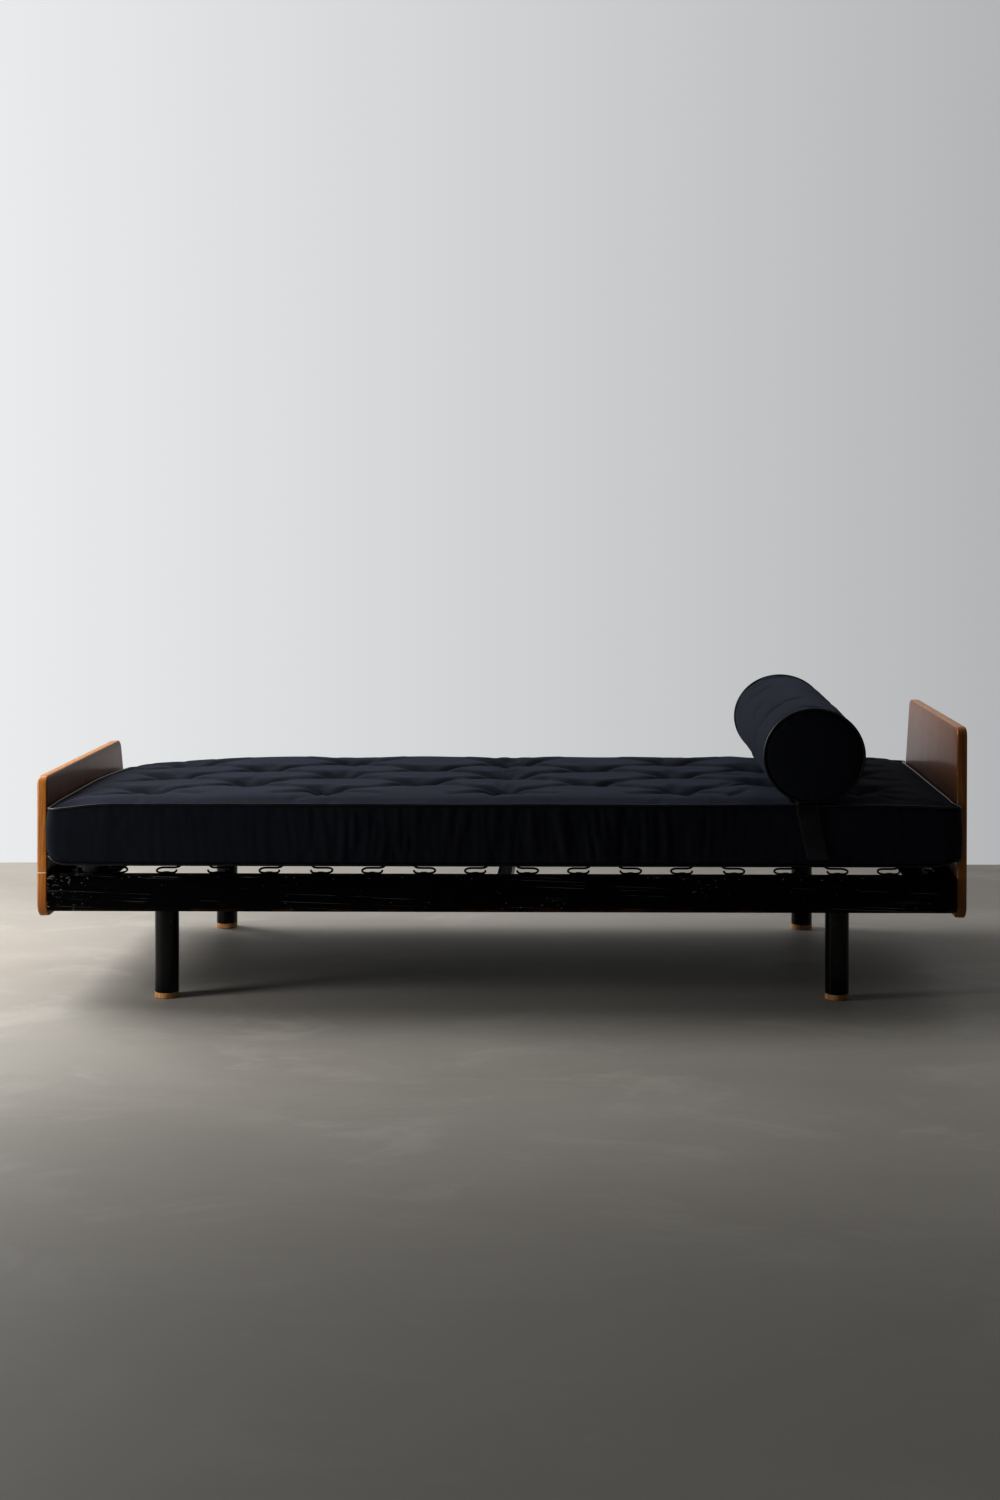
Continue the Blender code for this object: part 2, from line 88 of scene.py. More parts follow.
class Shader:
    """One material's node tree, with short calls for the nodes used here."""

    def __init__(self, name, **sockets):
        self.material = bpy.data.materials.new(name)
        self.material.use_nodes = True
        self.tree = self.material.node_tree
        self.surface = self.tree.nodes["Principled BSDF"]
        self.finish(**sockets)
        coordinates = self.tree.nodes.new("ShaderNodeTexCoord")
        self.place = Field(self, coordinates.outputs["Object"])
        self.facing = Field(self, coordinates.outputs["Normal"])

    def finish(self, **sockets):
        """Sets or links these sockets of the surface, and returns the material."""
        for name, value in sockets.items():
            self.feed(self.surface.inputs[name.replace("_", " ")], value)
        return self.material

    def feed(self, socket, value):
        if isinstance(value, Field):
            self.tree.links.new(value.socket, socket)
        else:
            socket.default_value = value

    def new(self, kind, output, inputs, **settings):
        """An output of a new node with these inputs and settings."""
        node = self.tree.nodes.new("ShaderNode" + kind)
        for name, value in settings.items():
            setattr(node, name, value)
        for key, value in inputs.items():
            self.feed(node.inputs[key], value)
        return Field(self, node.outputs[output])

    def stretch(self, scale, turn=(0, 0, 0)):
        """Object coordinates, scaled along each axis and turned."""
        return self.new("Mapping", "Vector", {"Vector": self.place, "Scale": scale, "Rotation": turn})

    def noise(self, scale, detail, rough, distortion=0.0):
        """Noise; scale is a number, one number for each axis, or a vector field of its own."""
        if isinstance(scale, float):
            scale = (scale, scale, scale)
        vector = scale if isinstance(scale, Field) else self.stretch(scale)
        return self.new("TexNoise", "Fac", {"Vector": vector, "Scale": 1.0, "Detail": detail,
                                            "Roughness": rough, "Distortion": distortion})

    def wave(self, turn, scale, distortion=0.0, detail=2.0, detail_scale=1.0, direction="X"):
        return self.new("TexWave", "Fac", {"Vector": self.stretch((1, 1, 1), turn), "Scale": scale,
                                           "Distortion": distortion, "Detail": detail,
                                           "Detail Scale": detail_scale}, bands_direction=direction)

    def math(self, operation, a, b=0.0):
        return self.new("Math", "Value", {0: a, 1: b}, operation=operation)

    def ramp(self, value, *stops):
        """Colours at these positions along a value."""
        node = self.tree.nodes.new("ShaderNodeValToRGB")
        elements = node.color_ramp.elements
        for index, (position, color) in enumerate(stops):
            stop = elements[index] if index < 2 else elements.new(position)
            stop.position = position
            stop.color = (*color, 1.0)
        self.feed(node.inputs["Fac"], value)
        return Field(self, node.outputs["Color"])

    def between(self, value, low, high):
        """0 below low, 1 above high."""
        return self.new("MapRange", "Result", {"Value": value, "From Min": low, "From Max": high},
                        interpolation_type="SMOOTHSTEP")

    def mix(self, share, a, b):
        a, b = (color if isinstance(color, Field) else (*color, 1.0) for color in (a, b))
        return self.new("Mix", 2, {0: share, 6: a, 7: b}, data_type="RGBA")

    def split(self, vector):
        node = self.tree.nodes.new("ShaderNodeSeparateXYZ")
        self.feed(node.inputs["Vector"], vector)
        return [Field(self, node.outputs[axis]) for axis in "XYZ"]

    def bump(self, height, distance, strength, under=None):
        inputs = {"Height": height, "Distance": distance, "Strength": strength}
        if under is not None:
            inputs["Normal"] = under
        return self.new("Bump", "Normal", inputs)


# ---------------------------------------------------------------- materials

EDGE_SCRATCH_HEIGHT = RAIL_TOP + 0.005
SCRATCH_SLOPE = -0.035


def panel_wood():
    """Lacquered board: upright grain, dark stained faces, honey-coloured edges and one pale scratch."""
    s = Shader("panel_wood", Coat_Weight=0.22, Coat_Roughness=0.14, Specular_IOR_Level=0.35)
    x, y, z = s.split(s.place)
    face = s.between(s.math("ABSOLUTE", s.split(s.facing)[0]), 0.55, 0.9)
    fine = s.noise((420.0, 420.0, 9.0), 4.0, 0.6)
    figure = s.noise((60.0, 60.0, 3.2), 5.0, 0.62, 0.6)
    broad = s.noise((7.0, 7.0, 1.1), 2.0, 0.5, 0.4)
    pores = s.between(s.noise((900.0, 900.0, 26.0), 2.0, 0.5), 0.56, 0.7)
    grain = figure * 0.6 + fine * 0.4
    face_color = s.ramp(grain, (0.3, (0.140, 0.036, 0.011)), (0.48, (0.240, 0.072, 0.022)),
                        (0.62, (0.330, 0.112, 0.036)), (0.75, (0.410, 0.155, 0.052)))
    face_color = s.mix(s.between(broad, 0.3, 0.7), face_color, (0.160, 0.060, 0.026))
    even_grain = s.ramp(grain, (0.3, (0.140, 0.043, 0.015)), (0.7, (0.380, 0.155, 0.056)))
    face_color = s.mix(0.55, face_color, even_grain)
    face_color = s.mix(pores * 0.6, face_color, (0.045, 0.017, 0.009))
    layers = s.noise((330.0, 22.0, 2.0), 3.0, 0.5)
    edge_color = s.ramp(layers * 0.55 + grain * 0.45, (0.34, (0.400, 0.130, 0.018)),
                        (0.5, (0.580, 0.228, 0.040)), (0.66, (0.690, 0.320, 0.072)))
    off_line = s.math("ABSOLUTE", z - EDGE_SCRATCH_HEIGHT)
    scratch = (1.0 - s.between(off_line, 0.0006, 0.0014)) * s.between(x, -0.940, -0.948)
    edge_color = s.mix(scratch, edge_color, (0.85, 0.78, 0.68))
    # painted shade: the edge colour is darkened from the rails' top down to the panel's foot
    low_edge_shade = 1.0 - s.between(z, PANEL_BOTTOM, RAIL_TOP)
    edge_color = s.mix(low_edge_shade * 0.75, edge_color, (0.300, 0.104, 0.018))
    return s.finish(Base_Color=s.mix(face, edge_color, face_color), Roughness=0.36 + grain * 0.16,
                    Normal=s.bump(grain * 0.5 - pores * 0.5, 0.0004, 0.5))


def foot_wood():
    s = Shader("foot_wood", Roughness=0.55, Coat_Weight=0.1)
    grain = s.noise((190.0, 90.0, 22.0), 4.0, 0.6, 0.8)
    scuffs = s.between(s.noise((60.0, 60.0, 160.0), 3.0, 0.6), 0.5, 0.72)
    color = s.ramp(grain, (0.3, (0.480, 0.220, 0.070)), (0.52, (0.700, 0.370, 0.140)),
                   (0.74, (0.820, 0.500, 0.230)))
    return s.finish(Base_Color=s.mix(scuffs * 0.4, color, (0.230, 0.130, 0.070)),
                    Normal=s.bump(grain, 0.0006, 0.6))


def rail_lacquer():
    """Black lacquer on folded sheet: long scratches, chips to primer and rust at the lower fold."""
    s = Shader("rail_lacquer", Coat_Weight=0.02, Coat_Roughness=0.12, Specular_IOR_Level=0.07)
    x, y, z = s.split(s.place)
    along = s.new("CombineXYZ", "Vector", {"X": x * 1.6, "Y": y * 90.0, "Z": (z - x * SCRATCH_SLOPE) * 560.0})
    breaks = s.noise((7.0, 7.0, 16.0), 2.0, 0.5)
    scratches = s.between(s.noise(along, 2.0, 0.5), 0.645, 0.675) * s.between(breaks, 0.47, 0.55)
    foot_end = s.between(x, 0.20 - HALF_LENGTH, 0.01 - HALF_LENGTH)
    top_fold = s.between(z, RAIL_TOP - 0.010, RAIL_TOP - 0.003)
    chip_field = s.noise((108.0, 135.0, 202.5), 4.0, 0.62)
    clusters = s.noise((9.0, 9.0, 16.0), 2.0, 0.5)
    chips = s.between(chip_field + foot_end * 0.080 + (clusters - 0.5) * 0.30 + top_fold * 0.045, 0.70, 0.715)
    low_fold = 1.0 - s.between(z, RAIL_BOTTOM + 0.0015, RAIL_BOTTOM + 0.008)
    rust_field = s.noise((16.0, 16.0, 60.0), 4.0, 0.6)
    rust = low_fold * s.between(rust_field, 0.42, 0.58)
    film = s.noise((3.0, 8.0, 10.0), 4.0, 0.6, 0.6)
    black = s.ramp(film, (0.35, (0.0006, 0.0008, 0.0013)), (0.7, (0.0015, 0.0018, 0.0026)))
    bare = s.ramp(chip_field, (0.5, (0.105, 0.062, 0.036)), (0.62, (0.24, 0.22, 0.20)),
                  (0.78, (0.46, 0.44, 0.41)))
    color = s.mix(chips, s.mix(scratches * 0.75, black, (0.24, 0.24, 0.245)), bare)
    rust_color = s.ramp(rust_field, (0.4, (0.045, 0.014, 0.006)), (0.65, (0.150, 0.055, 0.020)))
    worn = s.math("MAXIMUM", chips, rust)
    orange_peel = s.bump(s.noise(260.0, 2.0, 0.5), 0.00012, 0.5)
    dents = s.bump(s.noise((5.0, 9.0, 12.0), 2.0, 0.5), 0.0022, 0.35, orange_peel)
    return s.finish(Base_Color=s.mix(rust * 0.85, color, rust_color),
                    Roughness=0.24 + s.between(film, 0.35, 0.75) * 0.16 + worn * 0.4,
                    Normal=s.bump(1.0 - s.math("MAXIMUM", worn, scratches), 0.00025, 0.9, dents))


def tube_lacquer():
    s = Shader("tube_lacquer", Specular_IOR_Level=0.28)
    film = s.noise((10.0, 10.0, 5.0), 3.0, 0.55, 0.5)
    chips = s.between(s.noise(120.0, 4.0, 0.62), 0.715, 0.73)
    color = s.ramp(film, (0.35, (0.0007, 0.0010, 0.0017)), (0.7, (0.0016, 0.0021, 0.0031)))
    return s.finish(Base_Color=s.mix(chips, color, (0.22, 0.20, 0.18)), Roughness=0.05 + film * 0.12,
                    Normal=s.bump(s.noise(240.0, 2.0, 0.5), 0.00012, 0.45))


def bare_steel(name, color, roughness):
    s = Shader(name, Metallic=1.0)
    stain = s.noise(180.0, 4.0, 0.6, 0.4)
    stained = tuple(share * channel for share, channel in zip((0.35, 0.28, 0.22), color))
    return s.finish(Base_Color=s.mix(s.between(stain, 0.45, 0.7), color, stained),
                    Roughness=roughness + stain * 0.25,
                    Normal=s.bump(s.noise(900.0, 3.0, 0.6), 0.0002, 0.5))


def navy_cotton(name, tint=1.0, sheen=0.10):
    """Dark navy cotton drill: fine twill, faint fading and a soft nap."""
    s = Shader(name, Roughness=0.88, Sheen_Weight=sheen, Sheen_Roughness=0.45,
               Sheen_Tint=(0.52, 0.62, 0.92, 1.0), Specular_IOR_Level=0.12)
    twill = (s.wave((0.0, 0.0, math.radians(52)), 260.0, 0.6, 1.0, 2.0) * 0.5
             + s.wave((math.radians(48), 0.0, 0.0), 260.0, 0.6, 1.0, 2.0, "Z") * 0.5)
    slub = s.noise((90.0, 500.0, 500.0), 3.0, 0.6)
    fading = s.noise((3.0, 4.0, 6.0), 4.0, 0.6, 0.5)
    lint = s.between(s.noise(420.0, 2.0, 0.5), 0.73, 0.76)
    base = s.ramp(fading, (0.3, (0.0100 * tint, 0.0113 * tint, 0.0180 * tint)),
                  (0.72, (0.0165 * tint, 0.0183 * tint, 0.0280 * tint)))
    woven = s.mix(0.35, base, s.ramp(twill, (0.2, (0.003, 0.004, 0.007)), (0.8, (0.023, 0.027, 0.041))))
    woven = s.mix(s.between(slub, 0.55, 0.75) * 0.30, woven, (0.036, 0.041, 0.050))
    return s.finish(Base_Color=s.mix(lint * 0.25, woven, (0.11, 0.115, 0.12)),
                    Normal=s.bump(twill * 0.6 + slub * 0.6, 0.0006, 0.5))


def strap_leather():
    s = Shader("strap_leather", Coat_Weight=0.12, Coat_Roughness=0.22, Specular_IOR_Level=0.33)
    pebble = s.new("TexVoronoi", "Distance", {"Vector": s.place, "Scale": 620.0})
    creases = s.noise((60.0, 60.0, 220.0), 4.0, 0.6, 0.5)
    rubbed = s.between(s.noise((22.0, 22.0, 14.0), 3.0, 0.55), 0.45, 0.7)
    color = s.ramp(creases, (0.35, (0.0045, 0.0048, 0.0060)), (0.7, (0.0140, 0.0145, 0.0175)))
    return s.finish(Base_Color=s.mix(rubbed * 0.5, color, (0.030, 0.032, 0.040)),
                    Roughness=0.26 + creases * 0.22,
                    Normal=s.bump(pebble * 0.5 + creases * 0.8, 0.0005, 0.5))


def thread(name, color):
    s = Shader(name, Roughness=0.7, Sheen_Weight=0.3)
    twist = s.wave((0.5, 0.5, 0.5), 900.0)
    return s.finish(Base_Color=s.mix(twist * 0.5, color, tuple(0.4 * channel for channel in color)),
                    Normal=s.bump(twist, 0.0002, 0.6))


# ---------------------------------------------------------------- mesh helpers

def new_object(name, mesh, material, body):
    obj = bpy.data.objects.new(name, mesh)
    bpy.context.scene.collection.objects.link(obj)
    mesh.materials.clear()
    mesh.materials.append(material)
    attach(obj, body)
    return obj


def mesh_from(name, points, faces, smooth=True):
    mesh = bpy.data.meshes.new(name)
    mesh.from_pydata([tuple(p) for p in points], [], faces)
    mesh.update()
    if smooth:
        mesh.shade_smooth()
    return mesh


def face_out(mesh):
    bm = bmesh.new()
    bm.from_mesh(mesh)
    bmesh.ops.remove_doubles(bm, verts=bm.verts, dist=0.00001)
    bmesh.ops.recalc_face_normals(bm, faces=bm.faces)
    bm.to_mesh(mesh)
    bm.free()
    return mesh


def lofted(name, rings, closed=False):
    """Mesh through rings of equally many points; its ends are capped, or joined if it is closed."""
    count, last = len(rings[0]), len(rings) - 1
    pairs = [(k, k + 1) for k in range(last)] + ([(last, 0)] if closed else [])
    faces = []
    for a, b in pairs:
        for i in range(count):
            j = (i + 1) % count
            faces.append((a * count + i, a * count + j, b * count + j, b * count + i))
    if not closed:
        faces.append(tuple(range(count)))
        faces.append(tuple(last * count + i for i in reversed(range(count))))
    return face_out(mesh_from(name, [point for ring in rings for point in ring], faces))


def sharpen(mesh, degrees=35):
    mesh.shade_smooth()
    mesh.set_sharp_from_angle(angle=math.radians(degrees))
    return mesh


def turned(name, profile, sides=72):
    """Surface turned about Z from a closed or axis-to-axis profile of (radius, z)."""
    bm = bmesh.new()
    rings = []
    for radius, z in profile:
        spots = 1 if radius < 1e-7 else sides
        rings.append([bm.verts.new((radius * math.cos(2 * math.pi * i / sides),
                                    radius * math.sin(2 * math.pi * i / sides), z))
                      for i in range(spots)])
    for upper, lower in zip(rings, rings[1:]):
        for i in range(sides):
            j = (i + 1) % sides
            corners = [upper[i % len(upper)], lower[i % len(lower)], lower[j % len(lower)],
                       upper[j % len(upper)]]
            bm.faces.new([v for k, v in enumerate(corners) if v not in corners[:k]])
    bmesh.ops.recalc_face_normals(bm, faces=bm.faces)
    mesh = bpy.data.meshes.new(name)
    bm.to_mesh(mesh)
    bm.free()
    return sharpen(mesh)


def tube_along(points, radius, sides=10, closed=False):
    """Round tube along a smooth line of points, its ends rounded off."""
    points = [Vector(p) for p in points]
    count = len(points)
    tangents = []
    for i in range(count):
        before = points[(i - 1) % count] if closed or i > 0 else points[i]
        after = points[(i + 1) % count] if closed or i < count - 1 else points[i]
        tangents.append((after - before).normalized())
    up = Vector((0, 0, 1))
    if abs(tangents[0].dot(up)) > 0.9:
        up = Vector((1, 0, 0))
    side = tangents[0].cross(up).normalized()
    rings = []

    def ring(center, tangent, share=1.0):
        across = side.cross(tangent)
        angles = [2 * math.pi * i / sides for i in range(sides)]
        rings.append([center + (side * math.cos(a) + across * math.sin(a)) * radius * share
                      for a in angles])

    rounding = ((0.45, 0.8), (0.7, 0.35))
    for i, (point, tangent) in enumerate(zip(points, tangents)):
        side = (side - tangent * side.dot(tangent)).normalized()
        if i == 0 and not closed:
            for reach, share in reversed(rounding):
                ring(point - tangent * radius * reach, tangent, share)
        ring(point, tangent)
        if i == count - 1 and not closed:
            for reach, share in rounding:
                ring(point + tangent * radius * reach, tangent, share)
    return lofted("tube", rings, closed)


def joined(name, meshes):
    """One mesh that holds all of these."""
    bm = bmesh.new()
    for mesh in meshes:
        bm.from_mesh(mesh)
    whole = bpy.data.meshes.new(name)
    bm.to_mesh(whole)
    bm.free()
    return whole


def moved_mesh(mesh, matrix):
    mesh = mesh.copy()
    mesh.transform(matrix)
    return mesh


# ---------------------------------------------------------------- camera, stage and light

CAMERA_PLACE = (0.1857, -4.7459, 1.0307)
CAMERA_TURN_DEGREES = 0.755
CAMERA_SHIFT = (-0.04138, -0.16171)
FLOOR_REAR = 1.28
FLOOR_REACH = 14
VIEW_GAMMA = 0.8
SURROUND_SHOWN = (0.88, 0.51)
SURROUND_LIGHT = (0.88, 0.48)
SURROUND_FRONT_SHARE = 0.055
KEY_POWER = 98.0
GRAZE_POWER = 20.0


def make_camera():
    camera = bpy.data.cameras.new("camera")
    camera.lens = 50.0
    camera.sensor_width = 36.0
    camera.shift_x, camera.shift_y = CAMERA_SHIFT
    camera.clip_start = 0.1
    camera.clip_end = 100.0
    obj = bpy.data.objects.new("camera", camera)
    bpy.context.scene.collection.objects.link(obj)
    obj.location = CAMERA_PLACE
    obj.rotation_euler = (math.pi / 2, 0.0, math.radians(CAMERA_TURN_DEGREES))
    bpy.context.scene.camera = obj


def make_floor():
    """Pale concrete that ends a little behind the bed, where the pale surround takes over."""
    s = Shader("floor_pale", Roughness=0.62, Specular_IOR_Level=0.25)
    cloud = s.noise((0.8, 1.5, 1.0), 5.0, 0.6, 0.4)
    color = s.ramp(cloud, (0.35, (0.40, 0.375, 0.335)), (0.7, (0.50, 0.47, 0.425)))
    patches = s.noise((2.6, 4.2, 1.0), 6.0, 0.68, 0.8)
    color = s.mix(s.between(patches, 0.50, 0.68) * 0.45, color, (0.58, 0.55, 0.50))
    fine = s.noise(60.0, 4.0, 0.6)
    color = s.mix(fine * 0.25, color, (0.33, 0.31, 0.28))
    # painted shade: the floor's colour darkens from 0.5 m to 2.3 m in front of the bed
    front_floor_shade = s.between(s.split(s.place)[1], -0.5, -2.3)
    color = s.mix(front_floor_shade * 0.80, color, (0.16, 0.150, 0.136))
    material = s.finish(Base_Color=color, Normal=s.bump(fine, 0.0008, 0.25))
    corners = [(-FLOOR_REACH, -FLOOR_REACH, 0), (FLOOR_REACH, -FLOOR_REACH, 0),
               (FLOOR_REACH, FLOOR_REAR, 0), (-FLOOR_REACH, FLOOR_REAR, 0)]
    mesh = mesh_from("floor", corners, [(0, 1, 2, 3)], False)
    mesh.materials.append(material)
    floor = bpy.data.objects.new("floor", mesh)
    bpy.context.scene.collection.objects.link(floor)


def area_light(name, place, target, size, power):
    light = bpy.data.lights.new(name, "AREA")
    light.shape = "RECTANGLE"
    light.size, light.size_y = size
    light.energy = power
    obj = bpy.data.objects.new(name, light)
    bpy.context.scene.collection.objects.link(obj)
    obj.location = place
    obj.rotation_euler = (Vector(target) - Vector(place)).to_track_quat("-Z", "Y").to_euler()
    obj.visible_camera = False


def make_surround():
    """Pale surround, brighter on the left; it lights the bed from behind more than from the front."""
    world = bpy.data.worlds.new("pale_surround")
    bpy.context.scene.world = world
    world.use_nodes = True
    tree = world.node_tree

    def node(kind):
        return tree.nodes.new("ShaderNode" + kind)

    def graded(source, from_value, to_value, low, high):
        gradient = node("MapRange")
        for name, value in (("From Min", from_value), ("From Max", to_value), ("To Min", low),
                            ("To Max", high)):
            gradient.inputs[name].default_value = value
        tree.links.new(source, gradient.inputs["Value"])
        return gradient.outputs["Result"]

    direction = node("SeparateXYZ")
    tree.links.new(node("TexCoord").outputs["Generated"], direction.inputs["Vector"])
    shown = graded(direction.outputs["X"], -0.28, 0.24, *SURROUND_SHOWN)
    from_left = graded(direction.outputs["X"], -0.9, 0.9, *SURROUND_LIGHT)
    from_behind = graded(direction.outputs["Y"], -0.15, 0.55, SURROUND_FRONT_SHARE, 1.0)
    light = node("Math")
    light.operation = "MULTIPLY"
    tree.links.new(from_left, light.inputs[0])
    tree.links.new(from_behind, light.inputs[1])
    pick = node("Mix")
    tree.links.new(node("LightPath").outputs["Is Camera Ray"], pick.inputs[0])
    tree.links.new(light.outputs["Value"], pick.inputs[2])
    tree.links.new(shown, pick.inputs[3])
    background = tree.nodes["Background"]
    background.inputs["Color"].default_value = (0.975, 0.985, 1.0, 1.0)
    tree.links.new(pick.outputs[0], background.inputs["Strength"])


def make_light():
    bpy.context.scene.view_settings.view_transform = "Standard"
    bpy.context.scene.view_settings.gamma = VIEW_GAMMA
    make_surround()
    area_light("key_left_above", (-2.5, 0.9, 2.1), (-0.3, 0.1, 0.3), (1.8, 1.8), KEY_POWER)
    area_light("grazing_left", (-2.1, -0.95, 0.75), (-0.2, -0.45, 0.25), (0.5, 0.9), GRAZE_POWER)


# ---------------------------------------------------------------- steel frame

SHEET = 0.003
BEND_RADIUS = 0.006


def channel_section(top_flange, bottom_flange):
    """C section of a folded rail, as (distance in from its outer face, height)."""
    steps = 8
    outer, inner = BEND_RADIUS, BEND_RADIUS - SHEET
    top, bottom = RAIL_TOP - BEND_RADIUS, RAIL_BOTTOM + BEND_RADIUS
    section = [(top_flange, RAIL_TOP), (top_flange * 0.5, RAIL_TOP)]

    def bend(height, radius, start, end):
        for i in range(steps + 1):
            angle = math.radians(start + (end - start) * i / steps)
            section.append((BEND_RADIUS + radius * math.cos(angle), height + radius * math.sin(angle)))

    bend(top, outer, 90, 180)
    web_rows = 6
    for i in range(1, web_rows):
        section.append((0.0, top + (bottom - top) * i / web_rows))
    bend(bottom, outer, 180, 270)
    section += [(bottom_flange, RAIL_BOTTOM), (bottom_flange, RAIL_BOTTOM + SHEET)]
    bend(bottom, inner, 270, 180)
    bend(top, inner, 180, 90)
    section.append((top_flange, RAIL_TOP - SHEET))
    return section


def rail_mesh(name, half_length, face_distance, flanges, turn, dent_seed):
    """Folded rail with mitred ends and the faint hollows of hand-bent sheet."""
    section = channel_section(*flanges)
    stations = max(8, round(2 * half_length / 0.04))
    rings = []
    for k in range(stations + 1):
        share = 2 * k / stations - 1
        ring = []
        for inwards, height in section:
            x = share * (half_length - inwards - 0.75 * GAP)
            dent = 0.0
            if RAIL_BOTTOM + 0.008 < height < RAIL_TOP - 0.008 and inwards < SHEET + 0.0001:
                dent = max(0.0, noise.noise(Vector((x * 3.1, height * 16.0, dent_seed)))) * 0.0007
            ring.append((x, inwards - face_distance + dent, height))
        rings.append(ring)
    mesh = lofted(name, rings)
    mesh.transform(Matrix.Rotation(math.radians(turn), 4, "Z"))
    return sharpen(mesh, 40)


def make_rails(material):
    long_flanges, end_flanges = rail_flanges("front_rail"), rail_flanges("foot_end_rail")
    rails = (("front_rail", HALF_LENGTH, HALF_DEPTH, long_flanges, 0, 1.3),
             ("rear_rail", HALF_LENGTH, HALF_DEPTH, long_flanges, 180, 5.1),
             ("foot_end_rail", HALF_DEPTH, HALF_LENGTH, end_flanges, -90, 8.7),
             ("head_end_rail", HALF_DEPTH, HALF_LENGTH, end_flanges, 90, 3.9))
    for node, half_length, distance, flanges, turn, seed in rails:
        mesh = rail_mesh(node + "_sheet", half_length, distance, flanges, turn, seed)
        obj = new_object(node + "_sheet", mesh, material, "frame")
        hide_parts(node)


def rail_flanges(node):
    """Depths of the top and the bottom flange, from the corners of the node's mesh."""
    low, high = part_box(node)
    along = "y" if node.endswith("end_rail") else "x"
    across = "x" if along == "y" else "y"
    face = getattr(low, across)
    depths = {RAIL_TOP: 0.0, RAIL_BOTTOM: 0.0}
    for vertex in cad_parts[node].data.vertices:
        for level in depths:
            if abs(vertex.co.z - level) < 0.0001:
                depths[level] = max(depths[level], getattr(vertex.co, across) - face)
    return depths[RAIL_TOP], depths[RAIL_BOTTOM]


def make_legs(lacquer, wood):
    for place in ("front_left", "front_right", "rear_left", "rear_right"):
        low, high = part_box("leg_" + place)
        center = (low + high) / 2
        radius = (high.x - low.x) / 2
        inside = radius - 0.002
        lip = 0.0008
        tube = turned("leg_tube", [(radius - lip, high.z), (radius, high.z - lip), (radius, low.z + lip),
                                   (radius - lip, low.z), (inside, low.z), (inside, high.z),
                                   (radius - lip, high.z)])
        tube.transform(Matrix.Translation((center.x, center.y, 0.0)))
        leg = new_object("leg_tube_" + place, face_out(tube), lacquer, "frame")
        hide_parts("leg_" + place)
        foot_low, foot_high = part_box("foot_" + place)
        make_foot(place, center, (foot_high.x - foot_low.x) / 2, inside - GAP, foot_high.z, wood)


def make_foot(place, center, radius, spigot, top, wood):
    """Turned foot: a spigot inside the tube and a worn disc with rounded edges below it."""
    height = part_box("leg_" + place)[0].z - GAP
    profile = [(0.0, top), (spigot - 0.001, top), (spigot, top - 0.001), (spigot, height)]
    profile.append((radius - 0.0009, height))
    profile.append((radius - 0.0002, height - 0.0005))
    profile.append((radius, height - 0.0014))
    profile += [(radius - 0.0003, 0.006), (radius - 0.0001, 0.003)]
    round_edge = 0.0022
    for i in range(1, 6):
        angle = math.radians(90 * i / 5)
        profile.append((radius - round_edge * (1 - math.cos(angle)),
                        round_edge * (1 - math.sin(angle))))
    profile.append((0.0, 0.0))
    mesh = turned("foot_disc", profile)
    mesh.transform(Matrix.Translation((center.x, center.y, 0.0)))
    foot = new_object("foot_disc_" + place, face_out(mesh), wood, "frame")
    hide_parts("foot_" + place)


def hexagon_head(radius, height, chamfer):
    """Hex head from Z = 0 up, its top edges chamfered."""
    rings = []
    for scale, z in ((0.995, 0.0), (1.0, 0.0004), (1.0, height - chamfer), (0.90, height)):
        rings.append([(radius * scale * math.cos(math.pi * i / 3),
                       radius * scale * math.sin(math.pi * i / 3), z) for i in range(6)])
    return sharpen(lofted("hex_head", rings), 20)


THREAD_PITCH = 0.0015
THREAD_DEPTH = 0.00055


def threaded_shank(radius, length):
    """Shank from Z = 0 down, with thread ridges on its lower part."""
    profile = [(0.0, 0.0005), (radius, 0.0005), (radius, -length * 0.35)]
    z = -length * 0.35
    while z > -length + 2 * THREAD_PITCH:
        z -= THREAD_PITCH / 2
        profile.append((radius - THREAD_DEPTH, z))
        z -= THREAD_PITCH / 2
        profile.append((radius, z))
    profile += [(radius - 0.001, -length), (0.0, -length)]
    return turned("shank", profile, 32)


def bolt_mesh(head_radius, head_height, flange_radius, flange_height, shank_radius, length):
    edge = 0.0004
    flange = turned("bolt_flange", [
        (0.0, flange_height + 0.0003), (head_radius, flange_height + 0.0003),
        (flange_radius - 3 * edge, flange_height - edge), (flange_radius, flange_height / 2),
        (flange_radius, edge), (flange_radius - edge, 0.0), (0.0, 0.0)], 48)
    head = moved_mesh(hexagon_head(head_radius, head_height, 0.0016),
                      Matrix.Translation((0, 0, flange_height)))
    return joined("bolt", [flange, head, threaded_shank(shank_radius, length)])


def make_fasteners(steel):
    for end_name, end in (("foot", -1), ("head", 1)):
        for side_name in ("front", "rear"):
            corner = f"{end_name}_{side_name}"
            low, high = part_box("corner_bolt_" + corner)
            center = (low + high) / 2
            flange_radius = (high.x - low.x) / 2
            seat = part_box("corner_plate_" + corner)[1].z + GAP
            mesh = bolt_mesh(0.011, high.z - seat - 0.0025, flange_radius, 0.0025, 0.006, seat - low.z)
            mesh.transform(Matrix.Translation((center.x, center.y, seat)) @
                           Matrix.Rotation(0.3 * end, 4, "Z"))
            bolt = new_object("corner_bolt_hex_" + corner, mesh, steel, "frame")
            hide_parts("corner_bolt_" + corner)
        for index in range(3):
            node = f"panel_bolt_{end_name}_{index}"
            low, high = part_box(node)
            seat = end * (HALF_LENGTH - SHEET - GAP)
            head_tip = low.x if end > 0 else high.x
            far_tip = high.x if end > 0 else low.x
            mesh = bolt_mesh(0.0075, abs(seat - head_tip) - 0.0018, 0.009, 0.0018, 0.004,
                             abs(far_tip - seat))
            mesh.transform(Matrix.Translation((seat, (low.y + high.y) / 2, (low.z + high.z) / 2)) @
                           Matrix.Rotation(-end * math.pi / 2, 4, "Y"))
            bolt = new_object(node + "_hex", mesh, steel, "frame")
            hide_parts(node)


# ---------------------------------------------------------------- end panels

